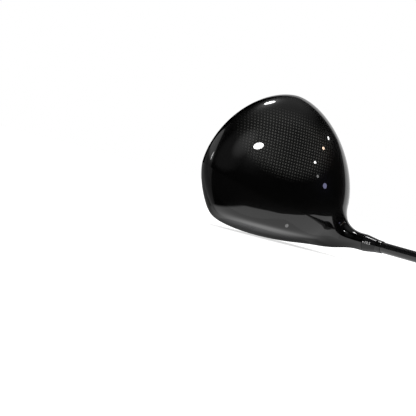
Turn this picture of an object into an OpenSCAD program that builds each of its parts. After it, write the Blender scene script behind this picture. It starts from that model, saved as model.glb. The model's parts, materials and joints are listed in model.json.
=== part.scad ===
// Golf driver: hollow head, adjustable hosel, tapered shaft and grip, lying face down.
//
// Pieces are described in one of two frames, in millimetres.
//   Head frame: x toe to heel, y face to rear, z sole to crown, with the club at address.
//   Shaft frame: z runs up the shaft, from where its axis meets the ground.
// Both are then laid down so that the shaft lies along +X and the face is underneath.

/* [Club] */
// Length along the shaft axis, from the ground to the butt
club_length = 1150; // [1080:1:1200]
// Angle between the shaft and the ground at address
lie_angle = 58; // [56:0.5:60]
// Where the shaft axis meets the ground, towards the heel
axis_foot_x = 31.4; // [30:0.1:33]
// How far the club rolls about its shaft as it lies
rest_roll = -0.7; // [-3:0.1:3]

/* [Head shape] */
// Reach of the head towards the toe
toe_reach = 64.1; // [58:0.1:68]
// Reach of the head towards the heel
heel_reach = 60.7; // [58:0.1:64]
// Reach of the head towards the rear
rear_reach = 71; // [60:0.5:76]
// Reach of the rounded body towards the face
front_reach = 58; // [56:0.5:60]
// Height of the crown over the belt
crown_rise = 30.6; // [27:0.1:34]
// How fast the sole rises to either side of its lowest line
sole_camber = 0.0029; // [0.0018:0.0001:0.003]
// Lowest line of the sole behind the shaft axis
sole_low_y = 12; // [8:0.5:18]
// Reach of the sole towards the face
sole_front_reach = 78; // [72:0.5:82]
// Height of the belt at the middle of the head
belt_z = 31.14; // [29:0.01:33]
// How far the belt falls for each millimetre towards the rear
belt_slope = 0.16; // [0.1:0.01:0.2]
// Middle of the head behind the shaft axis
middle_y = 27; // [24:0.5:30]
// Roundness of the outline behind the middle
plan_round_rear = 1.75; // [1.7:0.01:2]
// Roundness of the outline in front of the middle
plan_round_front = 1.7; // [1.65:0.01:1.9]
// Fullness of the outline from above, from the face to the heel
plan_round_heel = 2.15; // [1.8:0.01:2.2]
// Roundness of the crown
crown_round = 2.0; // [1.9:0.05:2.3]
// Roundness of the sole
sole_round = 2.5; // [2.3:0.05:2.8]
// Flatness of the sole
sole_flat = 2.2; // [2:0.05:2.4]
// Sharpness of the edge between the face and the body
edge_sharpness = 22; // [16:1:26]

/* [Face] */
// Loft of the face
loft = 10.5; // [8:0.5:12]
// Bulge and roll radius of the face
face_radius = 300; // [250:5:350]
// How far the leading edge stands in front of the shaft axis
face_progression = 20; // [18:0.1:22]
// Height of the middle of the face
face_z = 28; // [26:0.5:30]
// Half of the width of the welded face plate
plate_half_w = 41; // [34:0.5:43]
// Half of the height of the welded face plate
plate_half_h = 19.5; // [16:0.5:20.5]
// Thickness of the face plate at its rim
plate_t = 2.6; // [2.2:0.1:3]
// Extra thickness at the middle of the face plate
plate_dome = 0.8; // [0:0.1:1]
// Gap at the weld line
plate_gap = 0.05; // [0.03:0.01:0.1]

/* [Shell] */
// Wall of the cast body
wall = 0.8; // [0.7:0.05:1.2]
// Thickness of the crown panel
crown_t = 0.9; // [0.7:0.05:1.2]
// Space for the bond under the crown panel
bond_t = 0.35; // [0.3:0.05:0.45]
// Gap on each side of the bond
bond_gap = 0.06; // [0.04:0.01:0.08]
// Thickness of the ledge that carries the crown panel
ledge_t = 0.9; // [0.8:0.05:1.2]
// Width of the ledge, as an angle from the middle of the head
ledge_angle = 8; // [6:0.5:10]
// Gap around the crown panel, as an angle
crown_gap_angle = 0.1; // [0.05:0.05:0.2]

/* [Hosel] */
// Wall of the neck outside the splines
neck_wall = 1.15; // [1.05:0.05:1.6]
// Height of the neck's top along the shaft axis
neck_top = 75; // [72:0.5:78]
// Size of the blend between the neck and the head
neck_blend = 18; // [8:0.5:20]
// Running clearance of the sleeve, the screws and the shaft
fit_clear = 0.05; // [0.03:0.01:0.08]
// Floor of the sleeve bore along the shaft axis
bore_floor = 26; // [25:0.5:27]
// Thickness of the web under the sleeve bore
web_t = 3; // [2.5:0.1:3.5]
// Clearance of the wrench port around the washer
port_clear = 0.7; // [0.4:0.1:0.9]
// Wall of the tube between the sole and the neck
tube_wall = 1.1; // [1:0.1:1.3]
// Number of splines on the sleeve
splines = 12; // [8:1:14]
// Height of a spline over the sleeve
spline_h = 0.55; // [0.4:0.05:0.6]
// Width of a spline
spline_w = 1.2; // [1:0.05:1.3]
// Length of the splines
spline_l = 8; // [6:0.5:10]

/* [Sleeve and screw] */
// Wall of the sleeve
sleeve_wall = 0.65; // [0.6:0.05:0.75]
// Height of the sleeve's collar
collar_h = 11.5; // [10:0.5:13]
// Wall of the collar at its top
collar_wall = 0.85; // [0.8:0.05:1.3]
// Height of the bright rim at the collar's top
collar_rim = 0.7; // [0.5:0.1:1]
// Lower end of the sleeve along the shaft axis
sleeve_foot = 40; // [38:0.5:42]
// Length of the threaded insert
insert_l = 13; // [11:0.5:15]
// Radius of the M5 screw threads
thread_r = 2.5; // [2:0.1:3]
// Length of screw thread inside the insert
thread_engaged = 8.5; // [7:0.5:10]
// How far the hosel screw's head reaches over its thread
screw_head_over = 1.9; // [1.6:0.1:2.1]
// Length of the hosel screw's head
screw_head_l = 4.5; // [4:0.1:5]
// Across the corners of the wrench socket
socket_d = 5; // [4.5:0.1:5.2]
// Depth of the wrench socket
socket_depth = 3; // [2.5:0.1:3.2]
// Thickness of the hosel washer
washer_t = 1.3; // [1:0.1:1.5]
// Thickness of the screw retainer
retainer_t = 1.2; // [1:0.1:1.5]

/* [Shaft] */
// Radius of the shaft's tip
tip_r = 4.25; // [4.2:0.05:4.3]
// Radius of the shaft's butt
butt_r = 7.6; // [7.3:0.05:7.8]
// Length of the parallel tip
tip_parallel = 76; // [60:1:90]
// Wall of the shaft
shaft_wall = 1.4; // [1.2:0.1:1.7]
// Height of the ferrule
ferrule_h = 4.5; // [4:0.5:8]
// Wall of the ferrule at its top
ferrule_wall = 0.5; // [0.4:0.05:0.7]
// Length of the plug in the shaft's tip
plug_l = 8; // [6:1:12]

/* [Grip] */
// Length of the grip with its cap
grip_length = 267; // [255:1:275]
// Radius of the grip at its mouth
grip_mouth_r = 9.6; // [9.3:0.1:10.5]
// Radius of the grip next to the cap
grip_butt_r = 13.2; // [12.6:0.1:13.4]
// How far the cap stands proud of the grip
cap_lip = 0.5; // [0.3:0.1:0.8]
// Height of the cap
cap_h = 7; // [6:0.5:9]
// Radius of the vent in the cap
vent_r = 1.5; // [1.2:0.1:2]
// Thickness of the grip tape
tape_t = 0.25; // [0.15:0.05:0.3]
// Gap on each side of the tape
tape_gap = 0.02; // [0.01:0.01:0.04]

/* [Sole weights] */
// Radius of the rear weight
rear_weight_r = 11; // [9:0.5:12]
// Rear weight behind the shaft axis
rear_weight_y = 74; // [68:1:76]
// Rear weight towards the heel
rear_weight_x = 0; // [-6:1:6]
// Radius of the front weight
front_weight_r = 7.5; // [7:0.5:8.5]
// Front weight behind the shaft axis
front_weight_y = 8; // [6:1:12]
// Front weight towards the heel
front_weight_x = -6; // [-12:1:-2]
// Thickness of a weight
weight_t = 4.6; // [4:0.1:5.5]
// Depth of a weight's face below the sole
weight_inset = 0.9; // [0.7:0.1:1.2]
// Clearance around a weight
weight_clear = 0.15; // [0.1:0.05:0.2]
// Thickness of the gasket under a weight
gasket_t = 0.8; // [0.6:0.1:1]
// Length of thread in a weight's boss
weight_thread = 8; // [7:0.5:9]
// Wall of a weight's boss
boss_wall = 1.2; // [1:0.1:1.6]
// How far a weight screw's head reaches over its thread
weight_head_over = 1.7; // [1.4:0.1:2]
// Length of a weight screw's head
weight_head_l = 2.6; // [2.4:0.1:3]
// Depth of the socket in a weight screw
weight_socket_depth = 1.9; // [1.6:0.1:2.1]
// Wall of the threaded boss of a weight screw
thread_wall = 2.2; // [1.8:0.1:3]

/* [Fineness] */
// Points around each ring of the head
ring_n = 64; // [48:4:72]
// Rings from the sole to the crown seam
body_rings = 16; // [12:1:18]
// Rings over the crown
crown_rings = 9; // [7:1:12]
// Points around the face plate
plate_n = 56; // [48:4:64]
// Fineness of round parts
round_fn = 64; // [48:4:96]

/* [Hidden] */
$fn = round_fn;
eps = 0.01;

// Round fits about the shaft axis, from the inside out
close_fit = 0.01;
shank_clear = 0.25;
collar_step = 0.1;
washer_over = 0.4;
shaft_bore_r = tip_r + fit_clear;
sleeve_r = shaft_bore_r + sleeve_wall;
sleeve_bore_r = sleeve_r + fit_clear;
neck_r = sleeve_r + spline_h + fit_clear + neck_wall;
collar_base_r = neck_r - collar_step;
collar_top_r = shaft_bore_r + collar_wall;
ferrule_top_r = shaft_bore_r + ferrule_wall;
cap_r = grip_butt_r + cap_lip;
tapped_r = thread_r + fit_clear;
shank_hole_r = thread_r + shank_clear;
screw_head_r = thread_r + screw_head_over;
washer_r = screw_head_r + washer_over;
port_r = washer_r + port_clear;
weight_head_r = thread_r + weight_head_over;

// Places along the shaft axis
lift = 0.02;
insert_inset = 0.5;
insert_room = 2;
butt_room = 1;
seat_s = bore_floor - web_t;
washer_s = seat_s - washer_t;
screw_head_s = washer_s - screw_head_l;
insert_s = sleeve_foot + insert_inset;
screw_tip_s = insert_s + thread_engaged;
shaft_tip_s = insert_s + insert_l + insert_room;
collar_s = neck_top + fit_clear;
collar_top_s = collar_s + collar_h;
ferrule_top_s = collar_top_s + ferrule_h;
cap_s = club_length - cap_h;
grip_s = club_length - grip_length;
shaft_butt_s = cap_s - butt_room;
tape_in_r = tape_gap;
tape_out_r = tape_gap + tape_t;
grip_bore_r = tape_out_r + tape_gap;

// Weights, measured inwards from the sole
gasket_in = weight_inset + weight_t + gasket_t;
thread_runout = 0.8;
head_recess = 0.5;
recess_clear = 0.2;
weight_hole_depth = gasket_in + weight_thread + thread_runout;
weight_head_in = weight_inset + head_recess;

// ---------------------------------------------------------------- head surface

head_c = [0, middle_y, belt_z - 0.14];
face_c = [0, -face_progression + (face_z - 3) * tan(loft), face_z]
       - face_radius * [0, -cos(loft), sin(loft)];
face_reach = 44;

// 1 on the skin of the head, less inside it; w moves the skin inwards.
function head_value(p, w) =
    let (x = p.x,
         y = p.y - middle_y,
         h = p.z - (belt_z - belt_slope * y),
         up = h > 0,
         drop = max(belt_z - belt_slope * y - sole_camber * pow(p.y - sole_low_y, 2), 4 * wall),
         v = up ? h / (crown_rise - w) : -h / (drop - w),
         low = up ? 0 : min(1, -h / drop),
         front = front_reach + (sole_front_reach - front_reach) * low * (2 - low),
         a = (x < 0 ? toe_reach : heel_reach) - w,
         b = (y < 0 ? front : rear_reach) - w,
         n = y > 0 ? plan_round_rear : x > 0 ? plan_round_heel : plan_round_front,
         plan = pow(pow(abs(x) / a, n) + pow(abs(y) / b, n), 1 / n),
         hull = up ? sqrt(pow(plan, crown_round) + v * v)
             : pow(pow(plan, sole_round) + pow(v, sole_flat), 1 / sole_flat),
         flat = max(0, 1 + (norm(p - face_c) - face_radius + w) / face_reach))
    pow(pow(hull, edge_sharpness) + pow(flat, edge_sharpness), 1 / edge_sharpness);

// Distance from o along d to the skin, by secants.
function secant(o, d, w, r0, f0, r1, n) =
    let (f1 = head_value(o + r1 * d, w) - 1)
    n == 0 || abs(f1) < 0.000002 || f1 == f0 ? r1
        : secant(o, d, w, r1, f1, r1 - f1 * (r1 - r0) / (f1 - f0), n - 1);

function skin_reach(o, d, w) =
    let (r0 = 40, f0 = head_value(o + r0 * d, w))
    secant(o, d, w, r0, f0 - 1, r0 / f0, 12);

function ray(az, el) = [cos(el) * cos(az), cos(el) * sin(az), sin(el)];
function skin(az, el, w) = head_c + skin_reach(head_c, ray(az, el), w) * ray(az, el);

// Elevation of the crown seam: low at the rear, well back from the face at the front.
function front_share(az) = (1 - sin(az)) / 2;
function seam_el(az) = -4 + 14 * front_share(az) + 40 * pow(front_share(az), 4);

// A ring of the skin at a share t of the way from the sole's pole to the seam.
function azimuth(i) = 360 * i / ring_n;
function low_ring(t, w) =
    [for (i = [0 : ring_n - 1]) skin(azimuth(i), -90 + t * (90 + seam_el(azimuth(i))), w)];
// A ring at an angle over the seam.
function seam_ring(over, w) =
    [for (i = [0 : ring_n - 1]) skin(azimuth(i), seam_el(azimuth(i)) + over, w)];
// A ring at a share t of the way from the ledge's rim to the crown's pole.
function high_ring(t, w) =
    [for (i = [0 : ring_n - 1])
        let (rim = seam_el(azimuth(i)) + ledge_angle)
        skin(azimuth(i), rim + t * (90 - rim), w)];

outer_low = [for (j = [1 : body_rings]) low_ring(j / body_rings, 0)];
plate_shares = [for (j = [1 : 6]) j / 6];

// ---------------------------------------------------------------- laying the club down

function turn_x(a, p) = [p.x, p.y * cos(a) - p.z * sin(a), p.y * sin(a) + p.z * cos(a)];
function turn_y(a, p) = [p.x * cos(a) + p.z * sin(a), p.y, p.z * cos(a) - p.x * sin(a)];

// Head frame to the lying frame, before the butt is lowered to the floor.
outer_points = concat(flatten(outer_low), flatten([for (t = plate_shares) plate_ring(t, plate_gap, 0)]));
function laid(p) =
    turn_x(rest_roll + 90, turn_y(lie_angle, p - [axis_foot_x, 0, 0]));

laid_points = [for (p = outer_points) laid(p)];
face_drop = -min([for (p = laid_points) p.z]);
face_drop_s = [for (p = laid_points) if (-p.z > face_drop - eps) p.x][0];
// The leading edge and the cap both touch the floor.
rest_pitch = asin((face_drop - cap_r) / (club_length - 1 - face_drop_s));

function rested(p) = turn_y(rest_pitch, laid(p));
rested_points = [for (p = outer_points) rested(p)];
low_x = min([for (p = rested_points) p.x]);
high_x = club_length * cos(rest_pitch) + cap_r / 3 * sin(rest_pitch);
low_y = min([for (p = rested_points) p.y]);
high_y = max(cap_r, max([for (p = rested_points) p.y]));
floor_z = min([for (p = rested_points) p.z]);
origin = [(low_x + high_x) / 2, (low_y + high_y) / 2, floor_z];

// Shaft frame: z up the shaft.
module shaft_frame() {
    translate(-origin)
        rotate([0, rest_pitch, 0])
            rotate([rest_roll, 0, 0])
                rotate([0, 90, 0])
                    children();
}

// Head frame: x toe to heel, y face to rear, z up.
module head_frame() {
    translate(-origin)
        rotate([0, rest_pitch, 0])
            rotate([rest_roll + 90, 0, 0])
                rotate([0, lie_angle, 0])
                    translate([-axis_foot_x, 0, 0])
                        children();
}

// ---------------------------------------------------------------- ring solids

function flatten(rings) = [for (ring = rings) for (p = ring) p];

// Side faces between ring j and ring j + 1, n points each, from index first.
function band(first, n) =
    [for (i = [0 : n - 1])
        let (a = first + i, b = first + (i + 1) % n)
        each [[a, b, b + n], [a, b + n, a + n]]];

// Solid between a first pole and a last pole, through the rings.
module polar_solid(first, rings, last) {
    n = len(rings[0]);
    m = len(rings);
    points = concat([first], flatten(rings), [last]);
    end = m * n + 1;
    fan_a = [for (i = [0 : n - 1]) [0, 1 + (i + 1) % n, 1 + i]];
    fan_b = [for (i = [0 : n - 1]) let (k = 1 + (m - 1) * n) [end, k + i, k + (i + 1) % n]];
    sides = [for (j = [0 : m - 2]) each band(1 + j * n, n)];
    polyhedron(points, [for (f = concat(fan_a, sides, fan_b)) [f[2], f[1], f[0]]]);
}

// Solid like a bent tube: the last ring joins the first.
module loop_solid(rings) {
    n = len(rings[0]);
    m = len(rings);
    sides = [for (j = [0 : m - 1]) for (i = [0 : n - 1])
        let (a = j * n + i, b = j * n + (i + 1) % n, up = ((j + 1) % m) * n - j * n)
        each [[a, b + up, b], [a, a + up, b + up]]];
    polyhedron(flatten(rings), sides);
}

// The whole head, solid, with its skin moved in by w.
module head_solid(w) {
    polar_solid(
        skin(0, -90, w),
        concat(
            [for (j = [1 : body_rings]) low_ring(j / body_rings, w)],
            [for (j = [0 : crown_rings - 1]) high_ring(j / crown_rings, w)]),
        skin(0, 90, w));
}

// ---------------------------------------------------------------- neck

shaft_dir = [cos(lie_angle), 0, sin(lie_angle)];
neck_across = [sin(lie_angle), 0, -cos(lie_angle)];
function shaft_point(s) = [axis_foot_x, 0, 0] + s * shaft_dir;

function smooth_min(a, b, k) =
    let (h = max(k - abs(a - b), 0) / k) min(a, b) - h * h * k / 4;

// The neck narrows to nothing inside the heel.
neck_fade_low = 14;
neck_fade_high = 46;
skin_scale = 42;
function neck_radius(s) =
    let (t = max(0, min(1, (s - neck_fade_low) / (neck_fade_high - neck_fade_low))))
    neck_r * t * t * (3 - 2 * t);

// Negative inside the head or its neck, which blend into each other.
function blended(p) =
    let (q = p - [axis_foot_x, 0, 0],
         s = q * shaft_dir)
    smooth_min(
        (head_value(p, 0) - 1) * skin_scale,
        norm(q - s * shaft_dir) - neck_radius(s),
        neck_blend);

neck_limit = 8.2;
// Distance from the axis at s to the blended skin, in the direction d, up to neck_limit.
function neck_reach(s, d, low, high, n) =
    let (mid = (low + high) / 2)
    n == 0 ? mid
        : blended(shaft_point(s) + mid * d) < 0 ? neck_reach(s, d, mid, high, n - 1)
        : neck_reach(s, d, low, mid, n - 1);

neck_n = 40;
neck_foot = 22;
neck_rings = 15;
function neck_ring(s) =
    [for (i = [0 : neck_n - 1])
        let (a = 360 * i / neck_n, d = cos(a) * neck_across + sin(a) * [0, 1, 0])
        shaft_point(s) + neck_reach(s, d, 0, neck_limit, 10) * d];

module neck() {
    polar_solid(
        shaft_point(neck_foot),
        [for (j = [0 : neck_rings]) neck_ring(neck_foot + (neck_top - neck_foot) * j / neck_rings)],
        shaft_point(neck_top));
}

// Places its children in the head frame with z up the shaft.
module along_axis(s) {
    translate(shaft_point(s)) rotate([0, 90 - lie_angle, 0]) children();
}

// ---------------------------------------------------------------- sole weights

// Point of the sole under (x, y), and the way out of the sole there.
function sole_point(x, y) =
    let (o = [x, y, belt_z]) o + skin_reach(o, [0, 0, -1], 0) * [0, 0, -1];
function slope_at(p, d) = (head_value(p + d, 0) - head_value(p - d, 0)) / 2;
function outward(p) =
    let (g = [slope_at(p, [0.1, 0, 0]), slope_at(p, [0, 0.1, 0]), slope_at(p, [0, 0, 0.1])])
    g / norm(g);

rear_point = sole_point(rear_weight_x, rear_weight_y);
front_point = sole_point(front_weight_x, front_weight_y);
rear_out = outward(rear_point);
front_out = outward(front_point);

// Places its children with z pointing into the head from the sole point.
module into_sole(point, out) {
    tilt = acos(-out.z);
    turn = atan2(-out.y, -out.x);
    translate(point) rotate([0, 0, turn]) rotate([0, tilt, 0]) children();
}

module weight_boss(r) {
    translate([0, 0, -2]) cylinder(r = r + weight_clear + boss_wall, h = 2 + gasket_in + boss_wall);
    cylinder(r = thread_r + thread_wall, h = weight_hole_depth + boss_wall);
}

module weight_pocket(r) {
    translate([0, 0, -6]) cylinder(r = r + weight_clear, h = 6 + gasket_in);
    cylinder(r = tapped_r, h = weight_hole_depth);
}

module weight_slug(r) {
    edge = 0.8;
    dimple = 0.6;
    difference() {
        translate([0, 0, weight_inset]) rotate_extrude()
            polygon([
                [0, 0], [r - edge, 0], [r, edge],
                [r, weight_t], [0, weight_t]]);
        translate([0, 0, -1])
            cylinder(r = weight_head_r + recess_clear, h = 1 + weight_head_in + weight_head_l);
        cylinder(r = shank_hole_r, h = 2 * gasket_in);
        for (side = [-1, 1])
            translate([side * (r + weight_head_r) / 2, 0, weight_inset - eps])
                cylinder(r = edge, h = dimple);
    }
}

module weight_gasket(r) {
    gasket_out = 0.4;
    gasket_w = 2.2;
    translate([0, 0, weight_inset + weight_t]) difference() {
        cylinder(r = r - gasket_out, h = gasket_t);
        translate([0, 0, -1]) cylinder(r = r - gasket_out - gasket_w, h = gasket_t + 2);
    }
}

module weight_screw() {
    shank = gasket_in + weight_thread - weight_head_in - weight_head_l;
    translate([0, 0, weight_head_in]) difference() {
        union() {
            cylinder(r = weight_head_r, h = weight_head_l);
            translate([0, 0, weight_head_l - eps]) cylinder(r = thread_r, h = shank + eps);
        }
        translate([0, 0, -1]) cylinder(d = socket_d, h = 1 + weight_socket_depth, $fn = 6);
    }
}

// ---------------------------------------------------------------- head pieces

// Outline of the face plate, on the plane of the face, shrunk by gap.
function plate_plane_y(z) = -face_progression + (z - 3) * tan(loft);
function plate_point(a, share, gap) =
    let (c = cos(a), s = sin(a), e = 0.86,
         x = share * (plate_half_w - gap) * sign(c) * pow(abs(c), e) - 1,
         z = face_z + 1 + share * (plate_half_h - gap) * sign(s) * pow(abs(s), e)
             * (1 - 0.14 * c))
    [x, plate_plane_y(z), z];
function plate_ray(a, share, gap) =
    let (v = plate_point(a, share, gap) - head_c) v / norm(v);
function plate_ring(share, gap, w) =
    [for (i = [0 : plate_n - 1])
        let (d = plate_ray(-360 * i / plate_n, share, gap))
        head_c + skin_reach(head_c, d, w) * d];
function plate_middle(w) =
    let (d = plate_ray(0, 0, 0)) head_c + skin_reach(head_c, d, w) * d;

module plate_cutter() {
    rings = [for (k = [0.6, 1.4])
        [for (i = [0 : plate_n - 1])
            head_c + k * (plate_point(360 * i / plate_n, 1, 0) - head_c)]];
    middles = [for (k = [0.6, 1.4]) head_c + k * (plate_point(0, 0, 0) - head_c)];
    polar_solid(middles[0], rings, middles[1]);
}

module shell() {
    step = crown_t + bond_t;
    under = step + ledge_t;
    loop_low = [for (j = [1 : body_rings]) low_ring(j / body_rings, 0)];
    inner = [for (j = [body_rings - 1 : -1 : 1]) low_ring(j / body_rings, wall)];
    polar_solid(
        skin(0, -90, 0),
        concat(
            loop_low,
            [seam_ring(0, step), seam_ring(ledge_angle / 2, step), seam_ring(ledge_angle, step)],
            [seam_ring(ledge_angle, under), seam_ring(ledge_angle / 2, under), seam_ring(-1, under)],
            inner),
        skin(0, -90, wall));
}

// Everything in the body but its round bores, as one mesh.
module body_blank() {
    resize([0, 0, 0]) difference() {
        union() {
            shell();
            neck();
            intersection() {
                head_solid(wall / 2);
                union() {
                    along_axis(0) cylinder(r = port_r + tube_wall, h = neck_foot + 8);
                    into_sole(rear_point, rear_out) weight_boss(rear_weight_r);
                    into_sole(front_point, front_out) weight_boss(front_weight_r);
                }
            }
        }
        plate_cutter();
    }
}

module body() {
    color("#15161a") head_frame() difference() {
        body_blank();
        along_axis(bore_floor) cylinder(r = sleeve_bore_r, h = neck_top);
        along_axis(bore_floor - 2 * web_t) cylinder(r = shank_hole_r, h = 3 * web_t);
        along_axis(seat_s - 30) cylinder(r = port_r, h = 30);
        along_axis(neck_top - spline_l) spline_set(fit_clear, 2 * spline_l);
        into_sole(rear_point, rear_out) weight_pocket(rear_weight_r);
        into_sole(front_point, front_out) weight_pocket(front_weight_r);
    }
}

module face_plate() {
    outer = [for (t = plate_shares) plate_ring(t, plate_gap, 0)];
    inner = [for (j = [len(plate_shares) - 1 : -1 : 0])
        let (t = plate_shares[j])
        plate_ring(t, plate_gap, plate_t + plate_dome * (1 - t * t))];
    color("#2a2b2f") head_frame()
        polar_solid(plate_middle(0), concat(outer, inner), plate_middle(plate_t + plate_dome));
}

module crown_panel() {
    rim = [crown_gap_angle, ledge_angle / 2];
    color("#101114") head_frame() polar_solid(
        skin(0, 90, crown_t),
        concat(
            [for (j = [crown_rings - 1 : -1 : 0]) high_ring(j / crown_rings, crown_t)],
            [for (k = [1, 0]) seam_ring(rim[k], crown_t)],
            [for (k = [0, 1]) seam_ring(rim[k], 0)],
            [for (j = [0 : crown_rings - 1]) high_ring(j / crown_rings, 0)]),
        skin(0, 90, 0));
}

module crown_bond() {
    levels = [crown_gap_angle, ledge_angle / 2, ledge_angle];
    top = crown_t + bond_gap;
    bottom = crown_t + bond_t - bond_gap;
    color("#77705f") head_frame() loop_solid(concat(
        [for (k = [0 : 2]) seam_ring(levels[k], top)],
        [for (k = [2 : -1 : 0]) seam_ring(levels[k], bottom)]));
}

// ---------------------------------------------------------------- hosel pieces

module spline_set(clear, length) {
    for (i = [0 : splines - 1])
        rotate([0, 0, 360 * i / splines])
            translate([0, -spline_w / 2 - clear, 0])
                cube([sleeve_r + spline_h + clear, spline_w + 2 * clear, length]);
}

module hosel_sleeve() {
    color("#202226") shaft_frame() difference() {
        union() {
            rotate_extrude() polygon([
                [0, sleeve_foot],
                [sleeve_r - 0.5, sleeve_foot],
                [sleeve_r, sleeve_foot + 0.5],
                [sleeve_r, collar_s],
                [collar_base_r - 0.3, collar_s],
                [collar_base_r, collar_s + 0.3],
                [collar_base_r - 0.15, collar_s + 2],
                [collar_top_r, collar_top_s - collar_rim],
                [collar_top_r, collar_top_s],
                [0, collar_top_s]]);
            translate([0, 0, collar_s - spline_l]) spline_set(0, spline_l + 0.2);
        }
        translate([0, 0, sleeve_foot - 1]) cylinder(r = shaft_bore_r, h = collar_top_s);
    }
}

module sleeve_thread_insert() {
    color("#b5883a") shaft_frame() translate([0, 0, insert_s]) difference() {
        cylinder(r = shaft_bore_r - close_fit, h = insert_l);
        translate([0, 0, -1]) cylinder(r = tapped_r, h = insert_l + 2);
    }
}

module hosel_screw_retainer() {
    color("#e8e6dc") shaft_frame() translate([0, 0, bore_floor]) difference() {
        cylinder(r = sleeve_bore_r - close_fit, h = retainer_t);
        translate([0, 0, -1]) cylinder(r = thread_r + 2 * fit_clear, h = retainer_t + 2);
    }
}

module hosel_screw_washer() {
    color("#8d9096") shaft_frame() translate([0, 0, washer_s]) difference() {
        cylinder(r = washer_r, h = washer_t - lift);
        translate([0, 0, -1]) cylinder(r = tapped_r, h = washer_t + 2);
    }
}

module hosel_screw() {
    color("#7d8087") shaft_frame() translate([0, 0, screw_head_s]) difference() {
        union() {
            cylinder(r = screw_head_r, h = screw_head_l - lift);
            cylinder(r = thread_r, h = screw_tip_s - screw_head_s);
        }
        translate([0, 0, -1]) cylinder(d = socket_d, h = 1 + socket_depth, $fn = 6);
    }
}

module ferrule() {
    color("#0c0c0d") shaft_frame() translate([0, 0, collar_top_s]) difference() {
        rotate_extrude() polygon([
            [0, 0], [collar_top_r - 0.05, 0], [collar_top_r - 0.05, 0.6],
            [ferrule_top_r, ferrule_h - 0.3], [ferrule_top_r - 0.2, ferrule_h], [0, ferrule_h]]);
        translate([0, 0, -1]) cylinder(r = shaft_bore_r, h = ferrule_h + 2);
    }
}

// ---------------------------------------------------------------- shaft and grip

shaft_taper_s = shaft_tip_s + tip_parallel;
shaft_taper_l = shaft_butt_s - shaft_taper_s;
function shaft_r(s) =
    s < shaft_taper_s ? tip_r : tip_r + (butt_r - tip_r) * (s - shaft_taper_s) / shaft_taper_l;

module shaft() {
    color("#17181b") shaft_frame() rotate_extrude() polygon([
        [tip_r - shaft_wall, shaft_tip_s],
        [tip_r, shaft_tip_s],
        [tip_r, shaft_taper_s],
        [butt_r, shaft_butt_s],
        [butt_r - shaft_wall, shaft_butt_s],
        [tip_r - shaft_wall, shaft_taper_s]]);
}

module shaft_tip_plug() {
    color("#c9b48a") shaft_frame() translate([0, 0, shaft_tip_s])
        cylinder(r = tip_r - shaft_wall - close_fit, h = plug_l);
}

module grip_tape() {
    low = grip_s + 3;
    high = shaft_butt_s;
    color("#d8d5c8") shaft_frame() rotate_extrude() polygon([
        [shaft_r(low) + tape_in_r, low],
        [shaft_r(low) + tape_out_r, low],
        [shaft_r(high) + tape_out_r, high],
        [shaft_r(high) + tape_in_r, high]]);
}

module grip() {
    high = cap_s;
    color("#1b1c1e") shaft_frame() rotate_extrude() polygon([
        [shaft_r(grip_s) + grip_bore_r, grip_s],
        [grip_mouth_r - 0.6, grip_s],
        [grip_mouth_r, grip_s + 0.8],
        [grip_mouth_r, grip_s + 4],
        [grip_butt_r, high],
        [butt_r + grip_bore_r, high],
        [butt_r + grip_bore_r, shaft_butt_s]]);
}

module grip_cap() {
    edge = 3;
    color("#202123") shaft_frame() difference() {
        translate([0, 0, cap_s]) rotate_extrude() union() {
            square([cap_r - edge, cap_h]);
            square([cap_r, cap_h - edge]);
            translate([cap_r - edge, cap_h - edge]) intersection() {
                circle(r = edge);
                square([edge, edge]);
            }
        }
        translate([0, 0, cap_s - 1]) cylinder(r = vent_r, h = cap_h + 2);
    }
}

// ---------------------------------------------------------------- weights

module rear_weight() {
    color("#6f7277") head_frame() into_sole(rear_point, rear_out) weight_slug(rear_weight_r);
}

module rear_weight_screw() {
    color("#3c3e42") head_frame() into_sole(rear_point, rear_out) weight_screw();
}

module rear_weight_gasket() {
    color("#0f0f10") head_frame() into_sole(rear_point, rear_out) weight_gasket(rear_weight_r);
}

module front_weight() {
    color("#6f7277") head_frame() into_sole(front_point, front_out) weight_slug(front_weight_r);
}

module front_weight_screw() {
    color("#3c3e42") head_frame() into_sole(front_point, front_out) weight_screw();
}

module front_weight_gasket() {
    color("#0f0f10") head_frame() into_sole(front_point, front_out) weight_gasket(front_weight_r);
}

body();
face_plate();
crown_panel();
crown_bond();
hosel_screw_retainer();
hosel_screw_washer();
hosel_screw();
hosel_sleeve();
sleeve_thread_insert();
ferrule();
shaft();
shaft_tip_plug();
grip_tape();
grip();
grip_cap();
rear_weight();
rear_weight_screw();
rear_weight_gasket();
front_weight();
front_weight_screw();
front_weight_gasket();
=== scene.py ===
"""Golf driver that lies on its face: modelled surfaces, finishes, light and camera.

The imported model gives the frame. The head is shaped by one smooth function, the turned pieces are
shaped ring by ring, and every finish is made of shader nodes.
Lengths are in millimetres inside the classes, and in metres in the meshes.
"""

import json
import logging
import math
from contextlib import contextmanager
from dataclasses import dataclass, field
from enum import Enum
from typing import Callable, Iterator, Sequence

import bpy
import numpy as np
from mathutils import Matrix, Vector

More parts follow.
